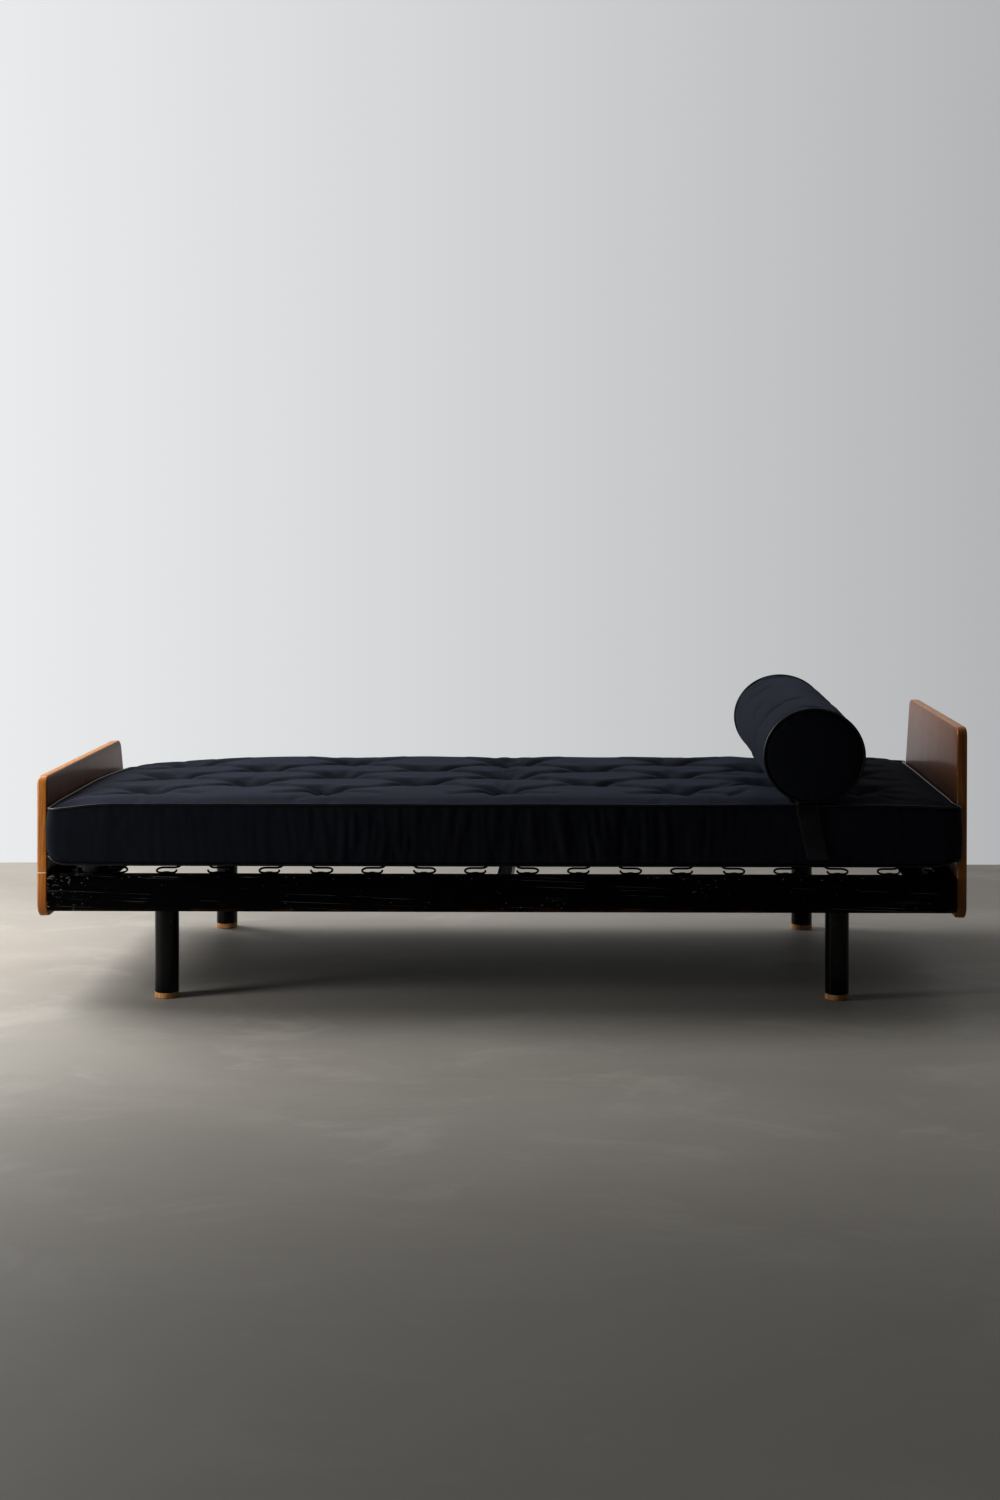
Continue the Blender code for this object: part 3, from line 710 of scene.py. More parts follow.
PANEL_CORNER_RADIUS = 0.025
PANEL_EDGE_ROUND = 0.004
PANEL_BOTTOM = 0.172
PANEL_SIDE_SLOPE = 0.175


def make_panel(node, material):
    """Board with rounded corners and softly rounded edges, on the node's own outline."""
    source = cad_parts[node].data
    low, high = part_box(node)
    end = 1 if low.x > 0 else -1
    shape = panel_shape(source, end)
    outline = rounded_corners(shape["corners"], PANEL_CORNER_RADIUS, 10)
    thickness = shape["thickness"]
    rings = []
    steps = 6
    for i in range(steps + 1):
        angle = math.pi / 2 * i / steps
        rings.append((PANEL_EDGE_ROUND * (1 - math.sin(angle)), PANEL_EDGE_ROUND * (1 - math.cos(angle))))
    rings += [(inset, thickness - depth) for inset, depth in reversed(rings)]
    mesh = lofted(node + "_board", [[(u, v, depth) for u, v in inset_outline(outline, inset)]
                                    for inset, depth in rings])
    mesh.transform(shape["place"])
    obj = new_object(node + "_board", sharpen(mesh, 30), material, "frame")
    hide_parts(node)


def panel_shape(source, end):
    """The panel's own axes, its thickness and the four corners of its outline, from its mesh."""
    points = [v.co.copy() for v in source.vertices]
    normal = Vector((0, 0, 0))
    for face in source.polygons:
        if face.normal.x * end < -0.9:
            normal -= face.normal * face.area
    normal.normalize()
    across = Vector((0, 1, 0))
    up = normal.cross(across) * -end
    depth = [p.dot(normal) for p in points]
    heights = [p.dot(up) for p in points]
    low, high = min(heights), max(heights)
    sides = [(p.dot(up), abs(p.y)) for p in points if abs(p.y) > HALF_DEPTH / 2]
    margin = 1.5 * PANEL_CORNER_RADIUS
    below = max(side for side in sides if side[0] < low + margin)
    above = min(side for side in sides if side[0] > high - margin)
    slope = (above[1] - below[1]) / (above[0] - below[0])
    at_low = below[1] + slope * (low - below[0])
    at_high = below[1] + slope * (high - below[0])
    place = Matrix((across, up, normal)).transposed().to_4x4()
    return {"corners": [(-at_low, low), (at_low, low), (at_high, high), (-at_high, high)],
            "thickness": max(depth) - min(depth),
            "place": place @ Matrix.Translation((0, 0, min(depth)))}


def rounded_corners(corners, radius, steps):
    """The outline of a convex polygon, its corners rounded by arcs."""
    points = []
    for i, corner in enumerate(corners):
        corner = Vector(corner)
        to_last = (Vector(corners[i - 1]) - corner).normalized()
        to_next = (Vector(corners[(i + 1) % len(corners)]) - corner).normalized()
        half_angle = to_last.angle(to_next) / 2
        center = corner + (to_last + to_next).normalized() * radius / math.sin(half_angle)
        first = corner + to_last * radius / math.tan(half_angle) - center
        last = corner + to_next * radius / math.tan(half_angle) - center
        turn = first.angle_signed(last)
        for k in range(steps + 1):
            angle = -turn * k / steps
            points.append(center + Vector((first.x * math.cos(angle) - first.y * math.sin(angle),
                                           first.x * math.sin(angle) + first.y * math.cos(angle))))
    return points


def inset_outline(points, distance):
    """A closed convex outline moved inwards by this distance."""
    moved = []
    for i, point in enumerate(points):
        along = (points[(i + 1) % len(points)] - points[i - 1]).normalized()
        moved.append(point + Vector((-along.y, along.x)) * distance)
    return moved


# ---------------------------------------------------------------- springs

WIRE_RADIUS = 0.0021
SPRING_COUNT = 16
SPRING_BENDS = 15
SPRING_HALF_WIDTH = 0.023
SPRING_HALF_SPAN = 0.362
SPRING_SLOPE = 0.100
SPRING_REST = 0.2602
SPRING_CREST = 0.278


def spring_height(y):
    share = min(1.0, (SPRING_HALF_SPAN - abs(y)) / SPRING_SLOPE)
    return SPRING_REST + (SPRING_CREST - SPRING_REST) * math.sin(math.pi / 2 * max(0.0, share))


def sinuous_route(side):
    """Zigzag of straight bars joined by round bends, with a hooked tail at each end."""
    pitch = 2 * SPRING_HALF_SPAN / (2 * SPRING_BENDS - 1)
    bend = pitch / 2
    reach = SPRING_HALF_WIDTH - bend
    route = []
    for i in range(2 * SPRING_BENDS):
        y = -SPRING_HALF_SPAN + pitch * i
        way = side if i % 2 == 0 else -side
        start = -way * (reach if i else 0.012)
        stop = way * (reach if i < 2 * SPRING_BENDS - 1 else 0.012)
        for k in range(5):
            route.append((start + (stop - start) * k / 4, y))
        if i < 2 * SPRING_BENDS - 1:
            for k in range(1, 8):
                angle = -math.pi / 2 + math.pi * k / 8
                route.append((stop + way * bend * math.cos(angle), y + bend + bend * math.sin(angle)))
    points = [Vector((x, y, spring_height(y))) for x, y in route]
    for end, sign in ((0, -side), (-1, points[-1].x / abs(points[-1].x))):
        base = points[end].copy()
        tail = []
        for k in range(1, 6):
            angle = math.pi / 2 * k / 5
            aside, rise = 0.009 * math.sin(angle), 0.0055 * (1 - math.cos(angle))
            tail.append(base + Vector((sign * aside, 0.0, rise)))
        points = tail[::-1] + points if end == 0 else points + tail
    return points


def clip_mesh(y_sign):
    """Strap that is folded over the spring's end bar and riveted to the rail's flange."""
    width, sheet = 0.012, 0.0009
    inner = WIRE_RADIUS + 0.0002
    outer = inner + sheet
    foot_near, foot_far = 0.0035, 0.017
    low = RAIL_TOP + GAP - SPRING_REST
    section = [(-foot_far, low + sheet), (-foot_near, low + sheet)]
    for radius, start, turn in ((outer, 200, -190), (inner, 10, 190)):
        for k in range(9):
            angle = math.radians(start + turn * k / 8)
            section.append((radius * math.cos(angle), radius * math.sin(angle)))
    section += [(-foot_near, low), (-foot_far, low)]
    rings = [[(x, -y_sign * y, z) for y, z in section] for x in (-width / 2, width / 2)]
    strap = sharpen(lofted("clip_strap", rings), 40)
    rivet = turned("clip_rivet", [(0.0, 0.0016), (0.0012, 0.0014), (0.0022, 0.0008), (0.0026, 0.0),
                                  (0.0, 0.0)], 24)
    rivet.transform(Matrix.Translation((0.0, y_sign * 0.0115, low + sheet)))
    return joined("spring_clip", [strap, rivet])


def make_springs(wire, clip_steel):
    clips = []
    for index in range(SPRING_COUNT):
        node = f"spring_{index:02d}"
        x = node_center(node).x
        side = 1 if index % 2 == 0 else -1
        points = [Vector((p.x + x, p.y, p.z)) for p in sinuous_route(side)]
        obj = new_object(f"sinuous_{index:02d}", tube_along(points, WIRE_RADIUS, 8), wire, "frame")
        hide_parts(node)
        for y_sign in (-1, 1):
            clips.append(moved_mesh(clip_mesh(-y_sign),
                                    Matrix.Translation((x, y_sign * SPRING_HALF_SPAN, SPRING_REST))))
    new_object("spring_clips", joined("spring_clips", clips), clip_steel, "frame")


# ---------------------------------------------------------------- soft goods

TOP_SEAM = 0.4085
BOTTOM_SEAM = 0.2848
SEAM_HALF_LENGTH = 0.9500
SEAM_HALF_DEPTH = 0.3990
CORNER_ROUND = 0.021
CROWN = 0.0045
TUFT_HEIGHT = 0.3980
TUFT_SPACING = 0.190
TUFT_STAGGER = 0.120
DIMPLE_REACH = 0.10
SIDE_BULGE = 0.0030
CORNER_EARS = (0.004, 0.015)
PIPING_RADIUS = 0.0027

BOLSTER_CENTER = Vector((0.655, 0.0, 0.5165))
BOLSTER_AXES = (0.1035, 0.0975)
BOLSTER_REAR_GROWTH = (0.0065, 0.0020)
BOLSTER_SWELL = (0.0025, 0.0010)
BOLSTER_SEAM = 0.3955
BOLSTER_REST = 0.4140
BOLSTER_FRONT_SINK = 0.0048
BOLSTER_END_CROWN = 0.0065
BOLSTER_HALF_LENGTH = 0.4045

STRAP_X = 0.640
STRAP_BED = 0.4098
STRAP_WIDTH = 0.046
STRAP_THICKNESS = 0.0024
STRAP_DRIFT = 0.22
STRAP_END = 0.296

# Steps of the covers' meshes: the mattress along, across and down its sides; the bolster around,
# along and in towards the middle of each end.
MATTRESS_GRID, MATTRESS_QUICK_GRID = (174, 74, 12), (130, 56, 8)
BOLSTER_GRID, BOLSTER_QUICK_GRID = (104, 84, 12), (72, 48, 8)
COVER_PRESSURE = 4.0
SIM_STEPS = 20
MATTRESS_SLACK, BOLSTER_SLACK = 0.030, 0.012
SIDE_CAP, TOP_EXTRA_CAP, BOLSTER_CAP = 0.0022, 0.0068, 0.0030

CREASE_DEPTH, CREASE_WIDTH = 0.0052, 0.0105
RIDGE_HEIGHT, RIDGE_WIDTH, RIDGE_SET_BACK = 0.0040, 0.022, 0.026
GATHER_BROAD, GATHER_NARROW = 0.0070, 0.0110


def smooth_step(low, high, value):
    share = min(1.0, max(0.0, (value - low) / (high - low)))
    return share * share * (3 - 2 * share)


def tuft_places():
    """Tufts in staggered columns: three in even columns, two in odd ones."""
    places = []
    for column in range(-4, 5):
        depths = (0.160, 0.400, 0.640) if column % 2 == 0 else (0.280, 0.520)
        for depth in depths:
            places.append((TUFT_SPACING * column, depth - MATTRESS_HIGH.y))
    return places


TUFTS = tuft_places()


def cornerness(x, y):
    """1 at the mattress's corners, fading to 0 about 0.15 m away."""
    away_x = SEAM_HALF_LENGTH - abs(x)
    away_y = SEAM_HALF_DEPTH - abs(y)
    return math.exp(-((away_x / 0.075) ** 2)) * math.exp(-((away_y / 0.060) ** 2))


def rounded_plan(u, v):
    """Plan of the mattress: the unit square onto a rectangle with round corners."""
    x, y = u * SEAM_HALF_LENGTH, v * SEAM_HALF_DEPTH
    a = (abs(x) - (SEAM_HALF_LENGTH - CORNER_ROUND)) / CORNER_ROUND
    b = (abs(y) - (SEAM_HALF_DEPTH - CORNER_ROUND)) / CORNER_ROUND
    if a > 0 and b > 0:
        x = math.copysign(SEAM_HALF_LENGTH - CORNER_ROUND * (1 - a * math.sqrt(1 - b * b / 2)), x)
        y = math.copysign(SEAM_HALF_DEPTH - CORNER_ROUND * (1 - b * math.sqrt(1 - a * a / 2)), y)
    past_panel = smooth_step(0.360, 0.388, abs(y)) * smooth_step(0.90, 0.95, abs(x))
    return x + (CORNER_EARS[1] if x > 0 else -CORNER_EARS[0]) * past_panel, y


def seam_height(x, y):
    """Height of the top seam: it sinks at the foot end, most at the rear corner."""
    reach = 0.12 + 0.24 * smooth_step(-0.38, -0.20, y)
    foot_end = 1 - smooth_step(-SEAM_HALF_LENGTH, -SEAM_HALF_LENGTH + reach, x)
    sunk = foot_end * (0.007 + 0.012 * smooth_step(0.0, 0.4, y)) + 0.004 * cornerness(x, y)
    return TOP_SEAM - sunk + 0.0012 * noise.noise(Vector((x * 5, y * 5, 2.0)))


def creased(x, y, width):
    """1 at a tuft, fading along the lines to its diagonal neighbours and away from them."""
    deepest = 0.0
    for tuft_x, tuft_y in TUFTS:
        away = Vector((x - tuft_x, y - tuft_y))
        if away.length > 0.14:
            continue
        for side_x in (-1, 1):
            for side_y in (-1, 1):
                run = Vector((side_x * TUFT_SPACING, side_y * TUFT_STAGGER))
                share = min(0.62, max(0.0, away.dot(run) / run.length_squared))
                off = (away - run * share).length
                depth = math.exp(-(off / width) ** 2) * (1 - 1.15 * share)
                deepest = max(deepest, depth)
    return deepest


def top_height(x, y):
    """Crowned top with a dimple at each tuft and shallow valleys between, before it is blown up."""
    edge = min(SEAM_HALF_LENGTH - abs(x), SEAM_HALF_DEPTH - abs(y))
    inside = smooth_step(0.0, 0.10, edge)
    height = seam_height(x, y) + CROWN * inside - 0.0040 * creased(x, y, 0.030) * inside
    pull = 0.0
    for tuft_x, tuft_y in TUFTS:
        distance = math.hypot(x - tuft_x, (y - tuft_y) * 1.1)
        if distance < DIMPLE_REACH:
            pull = max(pull, (1 - distance / DIMPLE_REACH) ** 3)
    height -= (TOP_SEAM + CROWN - TUFT_HEIGHT) * pull
    return height + 0.0025 * noise.noise(Vector((x * 7, y * 9, 0.3))) * smooth_step(0.0, 0.06, edge)


def side_point(x, y, share):
    """Point of the side band, from the top seam (0) to the bottom seam (1)."""
    top = seam_height(x, y)
    rise = math.exp(-((SEAM_HALF_LENGTH - abs(x)) / 0.014) ** 2) * smooth_step(0.30, 0.37, abs(y))
    bottom = BOTTOM_SEAM + 0.016 * rise
    outward = Vector((x, y, 0.0))
    core_x = SEAM_HALF_LENGTH - CORNER_ROUND
    core_y = SEAM_HALF_DEPTH - CORNER_ROUND
    outward.x -= min(core_x, max(-core_x, x))
    outward.y -= min(core_y, max(-core_y, y))
    outward.normalize()
    bulge = SIDE_BULGE * math.sin(math.pi * share) ** 0.7
    return Vector((x, y, top + (bottom - top) * share)) + outward * bulge


def mattress_cage(columns, rows, bands):
    """Closed mesh of quads; returns it with its seam loops and the points that stay where they are."""
    verts, faces, held = [], [], set()
    top, bottom = {}, {}
    for i in range(columns + 1):
        for j in range(rows + 1):
            x, y = rounded_plan(2 * i / columns - 1, 2 * j / rows - 1)
            rim = i in (0, columns) or j in (0, rows)
            top[i, j] = len(verts)
            verts.append(side_point(x, y, 0.0) if rim else Vector((x, y, top_height(x, y))))
            bottom[i, j] = len(verts)
            lift = max(BOTTOM_SEAM - 0.0012, side_point(x, y, 1.0).z - 0.002)
            verts.append(side_point(x, y, 1.0) if rim else Vector((x, y, lift)))
            held.add(bottom[i, j])
            if rim:
                held.add(top[i, j])
    for i in range(columns):
        for j in range(rows):
            faces.append((top[i, j], top[i + 1, j], top[i + 1, j + 1], top[i, j + 1]))
            faces.append((bottom[i, j], bottom[i, j + 1], bottom[i + 1, j + 1], bottom[i + 1, j]))
    loop = [(i, 0) for i in range(columns)] + [(columns, j) for j in range(rows)]
    loop += [(i, rows) for i in range(columns, 0, -1)] + [(0, j) for j in range(rows, 0, -1)]
    last = [top[place] for place in loop]
    for band in range(1, bands + 1):
        if band == bands:
            ring = [bottom[place] for place in loop]
        else:
            ring = []
            for place in loop:
                rim_point = verts[top[place]]
                ring.append(len(verts))
                verts.append(side_point(rim_point.x, rim_point.y, band / bands))
        for k in range(len(loop)):
            nxt = (k + 1) % len(loop)
            faces.append((last[k], ring[k], ring[nxt], last[nxt]))
        last = ring
    for tuft_x, tuft_y in TUFTS:
        for index in top.values():
            if math.hypot(verts[index].x - tuft_x, verts[index].y - tuft_y) < 0.008:
                held.add(index)
    seams = ([top[place] for place in loop], [bottom[place] for place in loop])
    return verts, faces, held, seams


def blow_up(mesh, held, slack, cap_at):
    """Cloth simulation with some points held; the result goes back into the mesh.

    cap_at(point) is the furthest that a point there may move.
    """
    obj = bpy.data.objects.new("cloth_trial", mesh)
    bpy.context.scene.collection.objects.link(obj)
    group = obj.vertex_groups.new(name="held")
    group.add(list(held), 1.0, "REPLACE")
    modifier = obj.modifiers.new("cloth", "CLOTH")
    settings = modifier.settings
    settings.quality = 5
    settings.mass = 0.25
    settings.tension_stiffness = settings.compression_stiffness = 18.0
    settings.shear_stiffness = 6.0
    settings.bending_stiffness = 0.35
    settings.use_pressure = True
    settings.uniform_pressure_force = COVER_PRESSURE
    settings.shrink_min = -slack
    settings.vertex_group_mass = "held"
    settings.effector_weights.gravity = 0.0
    modifier.point_cache.frame_start = 1
    modifier.point_cache.frame_end = SIM_STEPS
    scene = bpy.context.scene
    for step in range(1, SIM_STEPS + 1):
        scene.frame_set(step)
    result = obj.evaluated_get(bpy.context.evaluated_depsgraph_get()).data
    for vertex, blown in zip(mesh.vertices, [v.co.copy() for v in result.vertices]):
        move = blown - vertex.co
        cap = cap_at(vertex.co)
        if move.length > cap:
            move *= cap / move.length
        vertex.co += move
    obj.modifiers.remove(modifier)
    bpy.data.objects.remove(obj)
    scene.frame_set(1)


def refined(mesh):
    """The mesh with Catmull-Clark subdivision applied."""
    obj = bpy.data.objects.new("refine", mesh)
    bpy.context.scene.collection.objects.link(obj)
    modifier = obj.modifiers.new("finer", "SUBSURF")
    modifier.levels = modifier.render_levels = 1
    depsgraph = bpy.context.evaluated_depsgraph_get()
    fine = bpy.data.meshes.new_from_object(obj.evaluated_get(depsgraph), depsgraph=depsgraph)
    fine.name = mesh.name
    bpy.data.objects.remove(obj)
    fine.shade_smooth()
    return fine


def bolster_axis_height(y):
    """The bolster lies a little lower at the front."""
    return BOLSTER_CENTER.z - BOLSTER_FRONT_SINK * (1 - y / BOLSTER_SEAM) / 2


def bolster_underside(x, y):
    """Height of the bolster's surface above this place on the mattress."""
    share = (x - BOLSTER_CENTER.x) / (BOLSTER_AXES[0] + BOLSTER_SWELL[0])
    if abs(share) >= 0.98 or abs(y) > BOLSTER_SEAM + 0.010:
        return None
    drop = BOLSTER_AXES[1] + BOLSTER_SWELL[1]
    return max(BOLSTER_REST, bolster_axis_height(y) - drop * math.sqrt(1 - share * share))


CREASES = (
    # start (x, y), end (x, y), depth, half width
    ((0.523, -0.250), (0.470, -0.345), 0.0060, 0.010),
    ((0.515, -0.100), (0.455, -0.190), 0.0055, 0.010),
    ((0.530, -0.020), (0.470, 0.060), 0.0050, 0.011),
    ((0.790, -0.330), (0.850, -0.372), 0.0060, 0.009),
    ((0.795, -0.240), (0.880, -0.300), 0.0050, 0.011),
)


def press_mattress(mesh):
    """Creases between the tufts, and the hollow under the bolster and its strap."""
    for vertex in mesh.vertices:
        co = vertex.co
        if co.z < TOP_SEAM - 0.030:
            continue
        edge = min(SEAM_HALF_LENGTH - abs(co.x), SEAM_HALF_DEPTH - abs(co.y))
        inside = smooth_step(0.01, 0.06, edge)
        wander = Vector((noise.noise(co * 14.0), noise.noise(co * 14.0 + Vector((7, 0, 0))))) * 0.006
        x, y = co.x + wander.x, co.y + wander.y
        co.z -= CREASE_DEPTH * inside * creased(x, y, CREASE_WIDTH)
        co.z += RIDGE_HEIGHT * inside * creased(x, y - RIDGE_SET_BACK, RIDGE_WIDTH)
        for (x0, y0), (x1, y1), depth, width in CREASES:
            run = Vector((x1 - x0, y1 - y0))
            share = Vector((co.x - x0, co.y - y0)).dot(run) / run.length_squared
            if -0.15 < share < 1.15:
                off = (Vector((co.x - x0, co.y - y0)) - run * share).length
                fade = smooth_step(-0.15, 0.25, share) * (1 - smooth_step(0.45, 1.15, share))
                co.z -= depth * fade * math.exp(-(off / width) ** 2)
        beside = abs(co.x - BOLSTER_CENTER.x)
        swell = math.exp(-((beside - 0.125) / 0.035) ** 2) * smooth_step(0.40, 0.36, abs(co.y))
        co.z += 0.003 * swell
        under = bolster_underside(co.x, co.y)
        if under is not None:
            co.z = min(co.z, under - 0.0010)
        strap = smooth_step(0.032, 0.026, abs(co.x - STRAP_X)) * smooth_step(-0.26, -0.29, co.y)
        co.z = min(co.z, co.z * (1 - strap) + min(co.z, STRAP_BED) * strap)


def mattress_cap(point):
    """The top may move more than the side band, which its two seams keep flat."""
    edge = min(SEAM_HALF_LENGTH - abs(point.x), SEAM_HALF_DEPTH - abs(point.y))
    return SIDE_CAP + TOP_EXTRA_CAP * smooth_step(0.0, 0.05, edge)


def gather_sides(mesh):
    """Upright gathers in the side band, where its cloth was eased into the seams."""
    for vertex in mesh.vertices:
        co = vertex.co
        share = (seam_height(co.x, co.y) - co.z) / (TOP_SEAM - BOTTOM_SEAM)
        if not 0.02 < share < 0.98:
            continue
        on_front = abs(co.y) > SEAM_HALF_DEPTH - CORNER_ROUND
        along = co.x if on_front else co.y
        height = math.sin(math.pi * share) ** 0.35
        where = 0.20 + 0.80 * smooth_step(0.66, 0.22, abs(along - 0.03))
        where *= 0.85 + 0.7 * noise.noise(Vector((along * 3.6, co.y, 5.1)))
        sway = along + 0.004 * math.sin(share * 3.0 + along * 9.0)
        broad = noise.noise(Vector((sway * 34.0, share * 0.5, co.y * 3)))
        narrow = 0.35 - abs(noise.noise(Vector((sway * 60.0, share * 0.7, 3.0))))
        push = (GATHER_BROAD * broad + GATHER_NARROW * narrow) * where * height
        if on_front:
            co.y += math.copysign(push, co.y)
        else:
            co.x += math.copysign(push, co.x)


def make_mattress(cotton, piping_material):
    grid = MATTRESS_GRID
    verts, faces, held, seams = mattress_cage(*grid)
    mesh = mesh_from("mattress_cover", verts, faces)
    blow_up(mesh, held, MATTRESS_SLACK, mattress_cap)
    seam_lines = [[mesh.vertices[i].co.copy() for i in seam] for seam in seams]
    fine = refined(mesh)
    gather_sides(fine)
    press_mattress(fine)
    keep_between_panels(fine)
    fine.update()
    cover = new_object("mattress_cover", fine, cotton, "mattress")
    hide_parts("mattress")
    pipings = []
    edges = (("top", seam_lines[0], 0.0006, 1.0), ("bottom", seam_lines[1], -0.0010, 1.004))
    for name, line, lift, spread in edges:
        points = [Vector((p.x, p.y * spread, p.z + lift)) for p in relaxed(line, 2)]
        rope = tube_along(points, PIPING_RADIUS, 10, True)
        keep_between_panels(rope)
        pipings.append(new_object("mattress_piping_" + name, rope, piping_material, "mattress"))
    return cover, *pipings


def relaxed(points, rounds):
    """A closed line of points, smoothed along itself."""
    for _ in range(rounds):
        points = [(points[i - 1] + 2 * points[i] + points[(i + 1) % len(points)]) / 4
                  for i in range(len(points))]
    return points


def keep_between_panels(mesh):
    """Flattens what would press into an end panel."""
    for vertex in mesh.vertices:
        co = vertex.co
        panel = "head_panel" if co.x > 0 else "foot_panel"
        limit = PANEL_FACES[panel][0] + PANEL_FACES[panel][1] * (co.z - RAIL_BOTTOM) - 0.0006
        panel_edge = HALF_DEPTH - PANEL_SIDE_SLOPE * (co.z - PANEL_BOTTOM) + 0.003
        limit += 3 * max(0.0, abs(co.y) - panel_edge)
        if abs(co.x) > limit:
            co.x = math.copysign(limit, co.x)


def panel_faces():
    """For each end panel: |x| of its inner face at the rails' lower edge, and its lean."""
    faces = {}
    for node in ("foot_panel", "head_panel"):
        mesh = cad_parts[node].data
        end = 1 if node_center(node).x > 0 else -1
        face = min((p for p in mesh.polygons if p.normal.x * end < -0.9), key=lambda p: -p.area)
        point = face.center
        lean = abs(face.normal.z / face.normal.x)
        faces[node] = (abs(point.x) - lean * (point.z - RAIL_BOTTOM), lean)
    return faces


PANEL_FACES = panel_faces()


def make_tufts(cotton, skin):
    """A small cloth disc, drawn into each dimple by a crossed stitch."""
    for index, (x, y) in enumerate(TUFTS):
        if bolster_underside(x, y) is not None:
            continue
        hit = surface_below(skin, x, y)
        disc = turned("tuft", [(0.0, 0.0026), (0.0030, 0.0024), (0.0058, 0.0026), (0.0072, 0.0018),
                               (0.0076, 0.0008), (0.0070, -0.0004), (0.0, -0.0010)], 28)
        stitches = [tube_along([(-0.0028, s * 0.0012, 0.0026), (0.0, s * 0.0012, 0.0033),
                                (0.0028, s * 0.0012, 0.0026)], 0.0005, 6) for s in (-1, 1)]
        mesh = joined("tuft", [disc, *stitches])
        mesh.transform(Matrix.Translation((x, y, hit + 0.0002)) @ Matrix.Rotation(index * 0.9, 4, "Z"))
        new_object(f"tuft_{index:02d}", sharpen(mesh, 50), cotton, "mattress")


def surface_below(skin, x, y):
    return skin.ray_cast(Vector((x, y, 0.6)), Vector((0, 0, -1)))[0].z


def skin_of(*objects):
    """The objects' surface, ready to be measured with rays."""
    bm = bmesh.new()
    for obj in objects:
        bm.from_mesh(obj.data)
    skin = BVHTree.FromBMesh(bm)
    bm.free()
    return skin


def bolster_point(turn, y, radial=1.0):
    """Point of the bolster's skin; turn is measured from +X over the top, radial 1 is the skin."""
    share = y / BOLSTER_SEAM
    swell = (1 - share * share) ** 0.6 if abs(share) < 1 else 0.0
    rear = (1 + share) / 2
    across = (BOLSTER_AXES[0] + BOLSTER_REAR_GROWTH[0] * rear + BOLSTER_SWELL[0] * swell) * radial
    up = (BOLSTER_AXES[1] + BOLSTER_REAR_GROWTH[1] * rear + BOLSTER_SWELL[1] * swell) * radial
    near_seam = math.exp(-(BOLSTER_SEAM - abs(y)) / 0.030)
    folds = (noise.noise(Vector((turn * 3.4, y * 2.0, 1.7)))
             + 0.6 * noise.noise(Vector((turn * 8.0, y * 3.0, 4.4))))
    long_waves = noise.noise(Vector((turn * 1.7, y * 5.5, 9.1)))
    puff = radial * (1 - near_seam) * (0.0078 * folds * near_seam + 0.0010 * long_waves)
    x = BOLSTER_CENTER.x + (across + puff) * math.cos(turn)
    z = bolster_axis_height(y) + (up + puff) * math.sin(turn)
    return Vector((x, y, max(z, BOLSTER_REST + 0.0004)))


def bolster_cage(around, along, cap_rings):
    verts, faces, held = [], [], set()
    rings = []
    for k in range(along + 1):
        y = BOLSTER_SEAM * (2 * k / along - 1)
        rings.append(range(len(verts), len(verts) + around))
        verts += [bolster_point(2 * math.pi * i / around, y) for i in range(around)]
    seams = (list(rings[0]), list(rings[-1]))
    for first, second in zip(rings, rings[1:]):
        for i in range(around):
            j = (i + 1) % around
            faces.append((first[i], first[j], second[j], second[i]))
    for sign, rim in ((-1, rings[0]), (1, rings[-1])):
        last = rim
        for k in range(1, cap_rings):
            radial = 1 - k / cap_rings
            uneven = 0.0010 * noise.noise(Vector((radial * 4, sign, 0.4)))
            crown = BOLSTER_END_CROWN * (1 - radial ** 2) + uneven
            ring = range(len(verts), len(verts) + around)
            for i in range(around):
                point = bolster_point(2 * math.pi * i / around, sign * BOLSTER_SEAM, radial)
                pucker = 0.0012 * noise.noise(Vector((i * 0.37, radial * 2.0, sign + 2.0))) * radial ** 3
                verts.append(Vector((point.x, sign * (BOLSTER_SEAM + crown + pucker), point.z)))
            for i in range(around):
                j = (i + 1) % around
                faces.append((last[i], last[j], ring[j], ring[i]))
            last = ring
        center = len(verts)
        verts.append(Vector((BOLSTER_CENTER.x, sign * (BOLSTER_SEAM + BOLSTER_END_CROWN),
                             bolster_axis_height(sign * BOLSTER_SEAM))))
        faces += [(last[i], last[(i + 1) % around], center) for i in range(around)]
    held.update(seams[0])
    held.update(seams[1])
    held.update(i for i, point in enumerate(verts) if point.z < BOLSTER_REST + 0.0012)
    return verts, faces, held, seams


def make_bolster(cotton, piping_material):
    grid = BOLSTER_GRID
    verts, faces, held, seams = bolster_cage(*grid)
    mesh = face_out(mesh_from("bolster_cover", verts, faces))
    blow_up(mesh, held, BOLSTER_SLACK, lambda point: BOLSTER_CAP)
    seam_lines = [[mesh.vertices[i].co.copy() for i in seam] for seam in seams]
    fine = refined(mesh)
    for vertex in fine.vertices:
        if vertex.co.z < BOLSTER_REST + 0.002:
            vertex.co.z = max(vertex.co.z, BOLSTER_REST)
        vertex.co.y = max(-BOLSTER_HALF_LENGTH, min(BOLSTER_HALF_LENGTH, vertex.co.y))
    fine.update()
    cover = new_object("bolster_cover", fine, cotton, "bolster")
    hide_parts("bolster")
    for name, line in (("front", seam_lines[0]), ("rear", seam_lines[1])):
        lift = PIPING_RADIUS * 0.35
        points = []
        for p in relaxed(line, 2):
            away = Vector((p.x - BOLSTER_CENTER.x, 0.0, p.z - BOLSTER_CENTER.z)).normalized()
            place = p + away * lift
            points.append(Vector((place.x, place.y, max(place.z, BOLSTER_REST + PIPING_RADIUS))))
        new_object("bolster_piping_" + name, tube_along(points, PIPING_RADIUS, 10, True), piping_material,
                   "bolster")


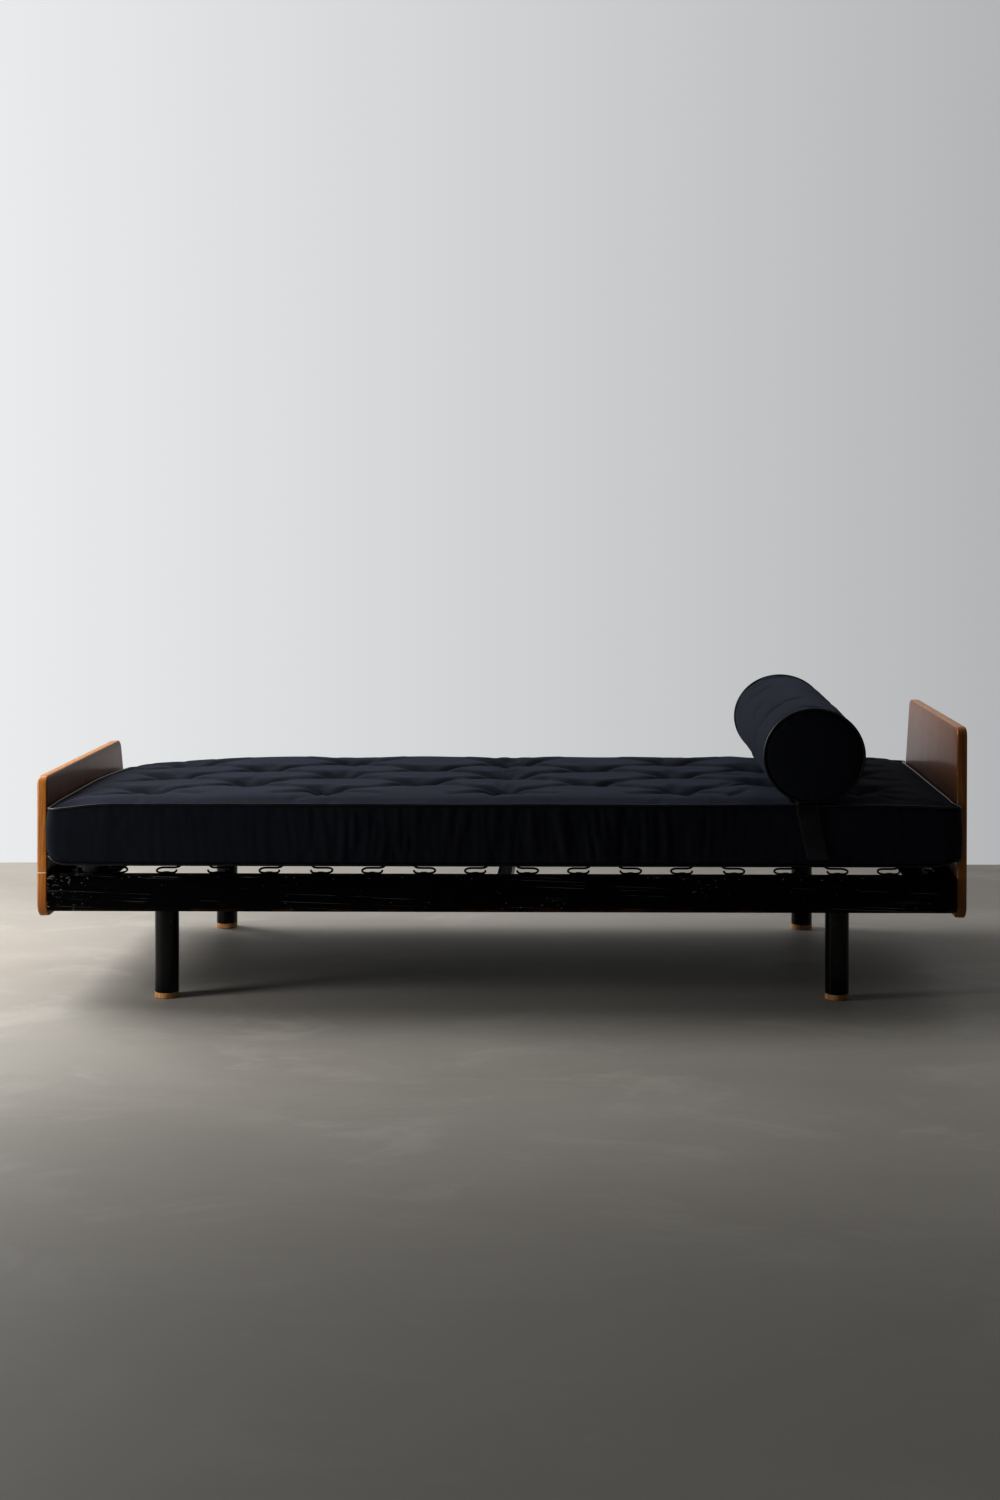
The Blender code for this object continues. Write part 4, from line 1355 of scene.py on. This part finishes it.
def strap_route(skin):
    """Middle line of the strap on the mattress, from under the bolster over its edge, as (y, z)."""
    line = []
    for k in range(12):
        y = -0.300 - 0.078 * k / 11
        line.append(Vector((0.0, y, surface_below(skin, STRAP_X, y))))
    pivot = Vector((STRAP_X, MATTRESS_LOW.y + 0.018, TOP_SEAM - 0.016))
    for k in range(1, 12):
        angle = math.radians(75 + 105 * k / 11)
        outward = Vector((0.0, math.cos(angle), math.sin(angle)))
        line.append(skin.ray_cast(pivot + outward * 0.06, -outward)[0])
    for k in range(1, 16):
        z = pivot.z + (STRAP_END - pivot.z) * k / 15
        line.append(skin.ray_cast(Vector((strap_middle(z), -0.6, z)), Vector((0, 1, 0)))[0])
    for _ in range(4):
        line = [line[0]] + [(line[i - 1] + 2 * line[i] + line[i + 1]) / 4
                            for i in range(1, len(line) - 1)] + [line[-1]]
    return [Vector((0.0, point.y, point.z)) for point in line]


def strap_middle(z):
    """The hanging end drifts a little towards the head of the bed."""
    return STRAP_X + STRAP_DRIFT * max(0.0, MATTRESS_HIGH.z - 0.020 - z)


def make_strap(skin, leather, stitching):
    line = strap_route(skin)
    section = []
    for k in range(9):
        share = 2 * k / 8 - 1
        section.append((share * STRAP_WIDTH / 2, 0.0))
    top = [(x, STRAP_THICKNESS * (1.0 if 0 < k < 8 else 0.55)) for k, (x, _) in enumerate(section)]
    section += top[::-1]
    frames = []
    for i, point in enumerate(line):
        tangent = (line[min(i + 1, len(line) - 1)] - line[max(i - 1, 0)]).normalized()
        outward = Vector((0.0, tangent.z, -tangent.y))
        lift = 0.0008 + 0.0014 * smooth_step(-0.380, -0.395, point.y)
        frames.append((Vector((strap_middle(point.z), point.y, point.z)) + outward * lift, outward))
    mesh = lofted("bolster_strap_leather", [[center + Vector((x, 0, 0)) + outward * depth
                                             for x, depth in section] for center, outward in frames])
    strap = new_object("bolster_strap_leather", refined(mesh), leather, "bolster")
    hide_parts("bolster_strap")
    stitches = []
    for side in (-1, 1):
        across = side * (STRAP_WIDTH / 2 - 0.0035)
        run = [center + Vector((across, 0, 0)) + outward * (STRAP_THICKNESS + 0.0001)
               for center, outward in frames]
        stitches += stitch_row(run, 0.0034, 0.0012, 0.00042)
    new_object("bolster_strap_stitches", joined("bolster_strap_stitches", stitches), stitching, "bolster")


def stitch_row(run, stitch, space, radius):
    """Short threads along a line of points."""
    rows, travelled, pieces = [], 0.0, []
    for a, b in zip(run, run[1:]):
        steps = max(1, int((b - a).length / 0.0004))
        for k in range(steps):
            point = a + (b - a) * (k / steps)
            place = (travelled + (b - a).length * k / steps) % (stitch + space)
            if place < stitch:
                rows.append(point)
            else:
                if len(rows) > 2:
                    pieces.append(tube_along([rows[0], rows[len(rows) // 2], rows[-1]], radius, 6))
                rows = []
        travelled += (b - a).length
    return pieces


# ---------------------------------------------------------------- the whole daybed

def assign(material, *nodes):
    """Gives kept frame pieces this material."""
    for node in nodes:
        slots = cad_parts[node].material_slots
        if not slots:
            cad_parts[node].data.materials.append(material)
        for slot in slots:
            slot.material = material


def kept_nodes(*starts):
    return [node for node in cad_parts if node.startswith(starts)]


make_camera()
make_floor()
make_light()
lacquer = rail_lacquer()
tube = tube_lacquer()
bolts = bare_steel("bolt_steel", (0.13, 0.12, 0.11), 0.34)
wire = bare_steel("spring_wire", (0.018, 0.017, 0.017), 0.40)
make_rails(lacquer)
assign(lacquer, *kept_nodes("corner_plate_", "end_lug_", "centre_crossbar"))
assign(bolts, *kept_nodes("corner_nut_"))
make_legs(tube, foot_wood())
make_fasteners(bolts)
boards = panel_wood()
for board in ("foot_panel", "head_panel"):
    make_panel(board, boards)
make_springs(wire, bolts)
cotton = navy_cotton("navy_cotton")
# painted shade: the tufts get a darker, less sheeny copy of the navy cotton, for their place deep in the
# dimples
tuft_shade_cotton = navy_cotton("navy_cotton_tuft_shade", 0.8, 0.05)
leather = strap_leather()
mattress_skin = skin_of(*make_mattress(cotton, leather))
make_tufts(tuft_shade_cotton, mattress_skin)
make_bolster(cotton, leather)
make_strap(mattress_skin, leather, thread("strap_thread", (0.020, 0.021, 0.026)))
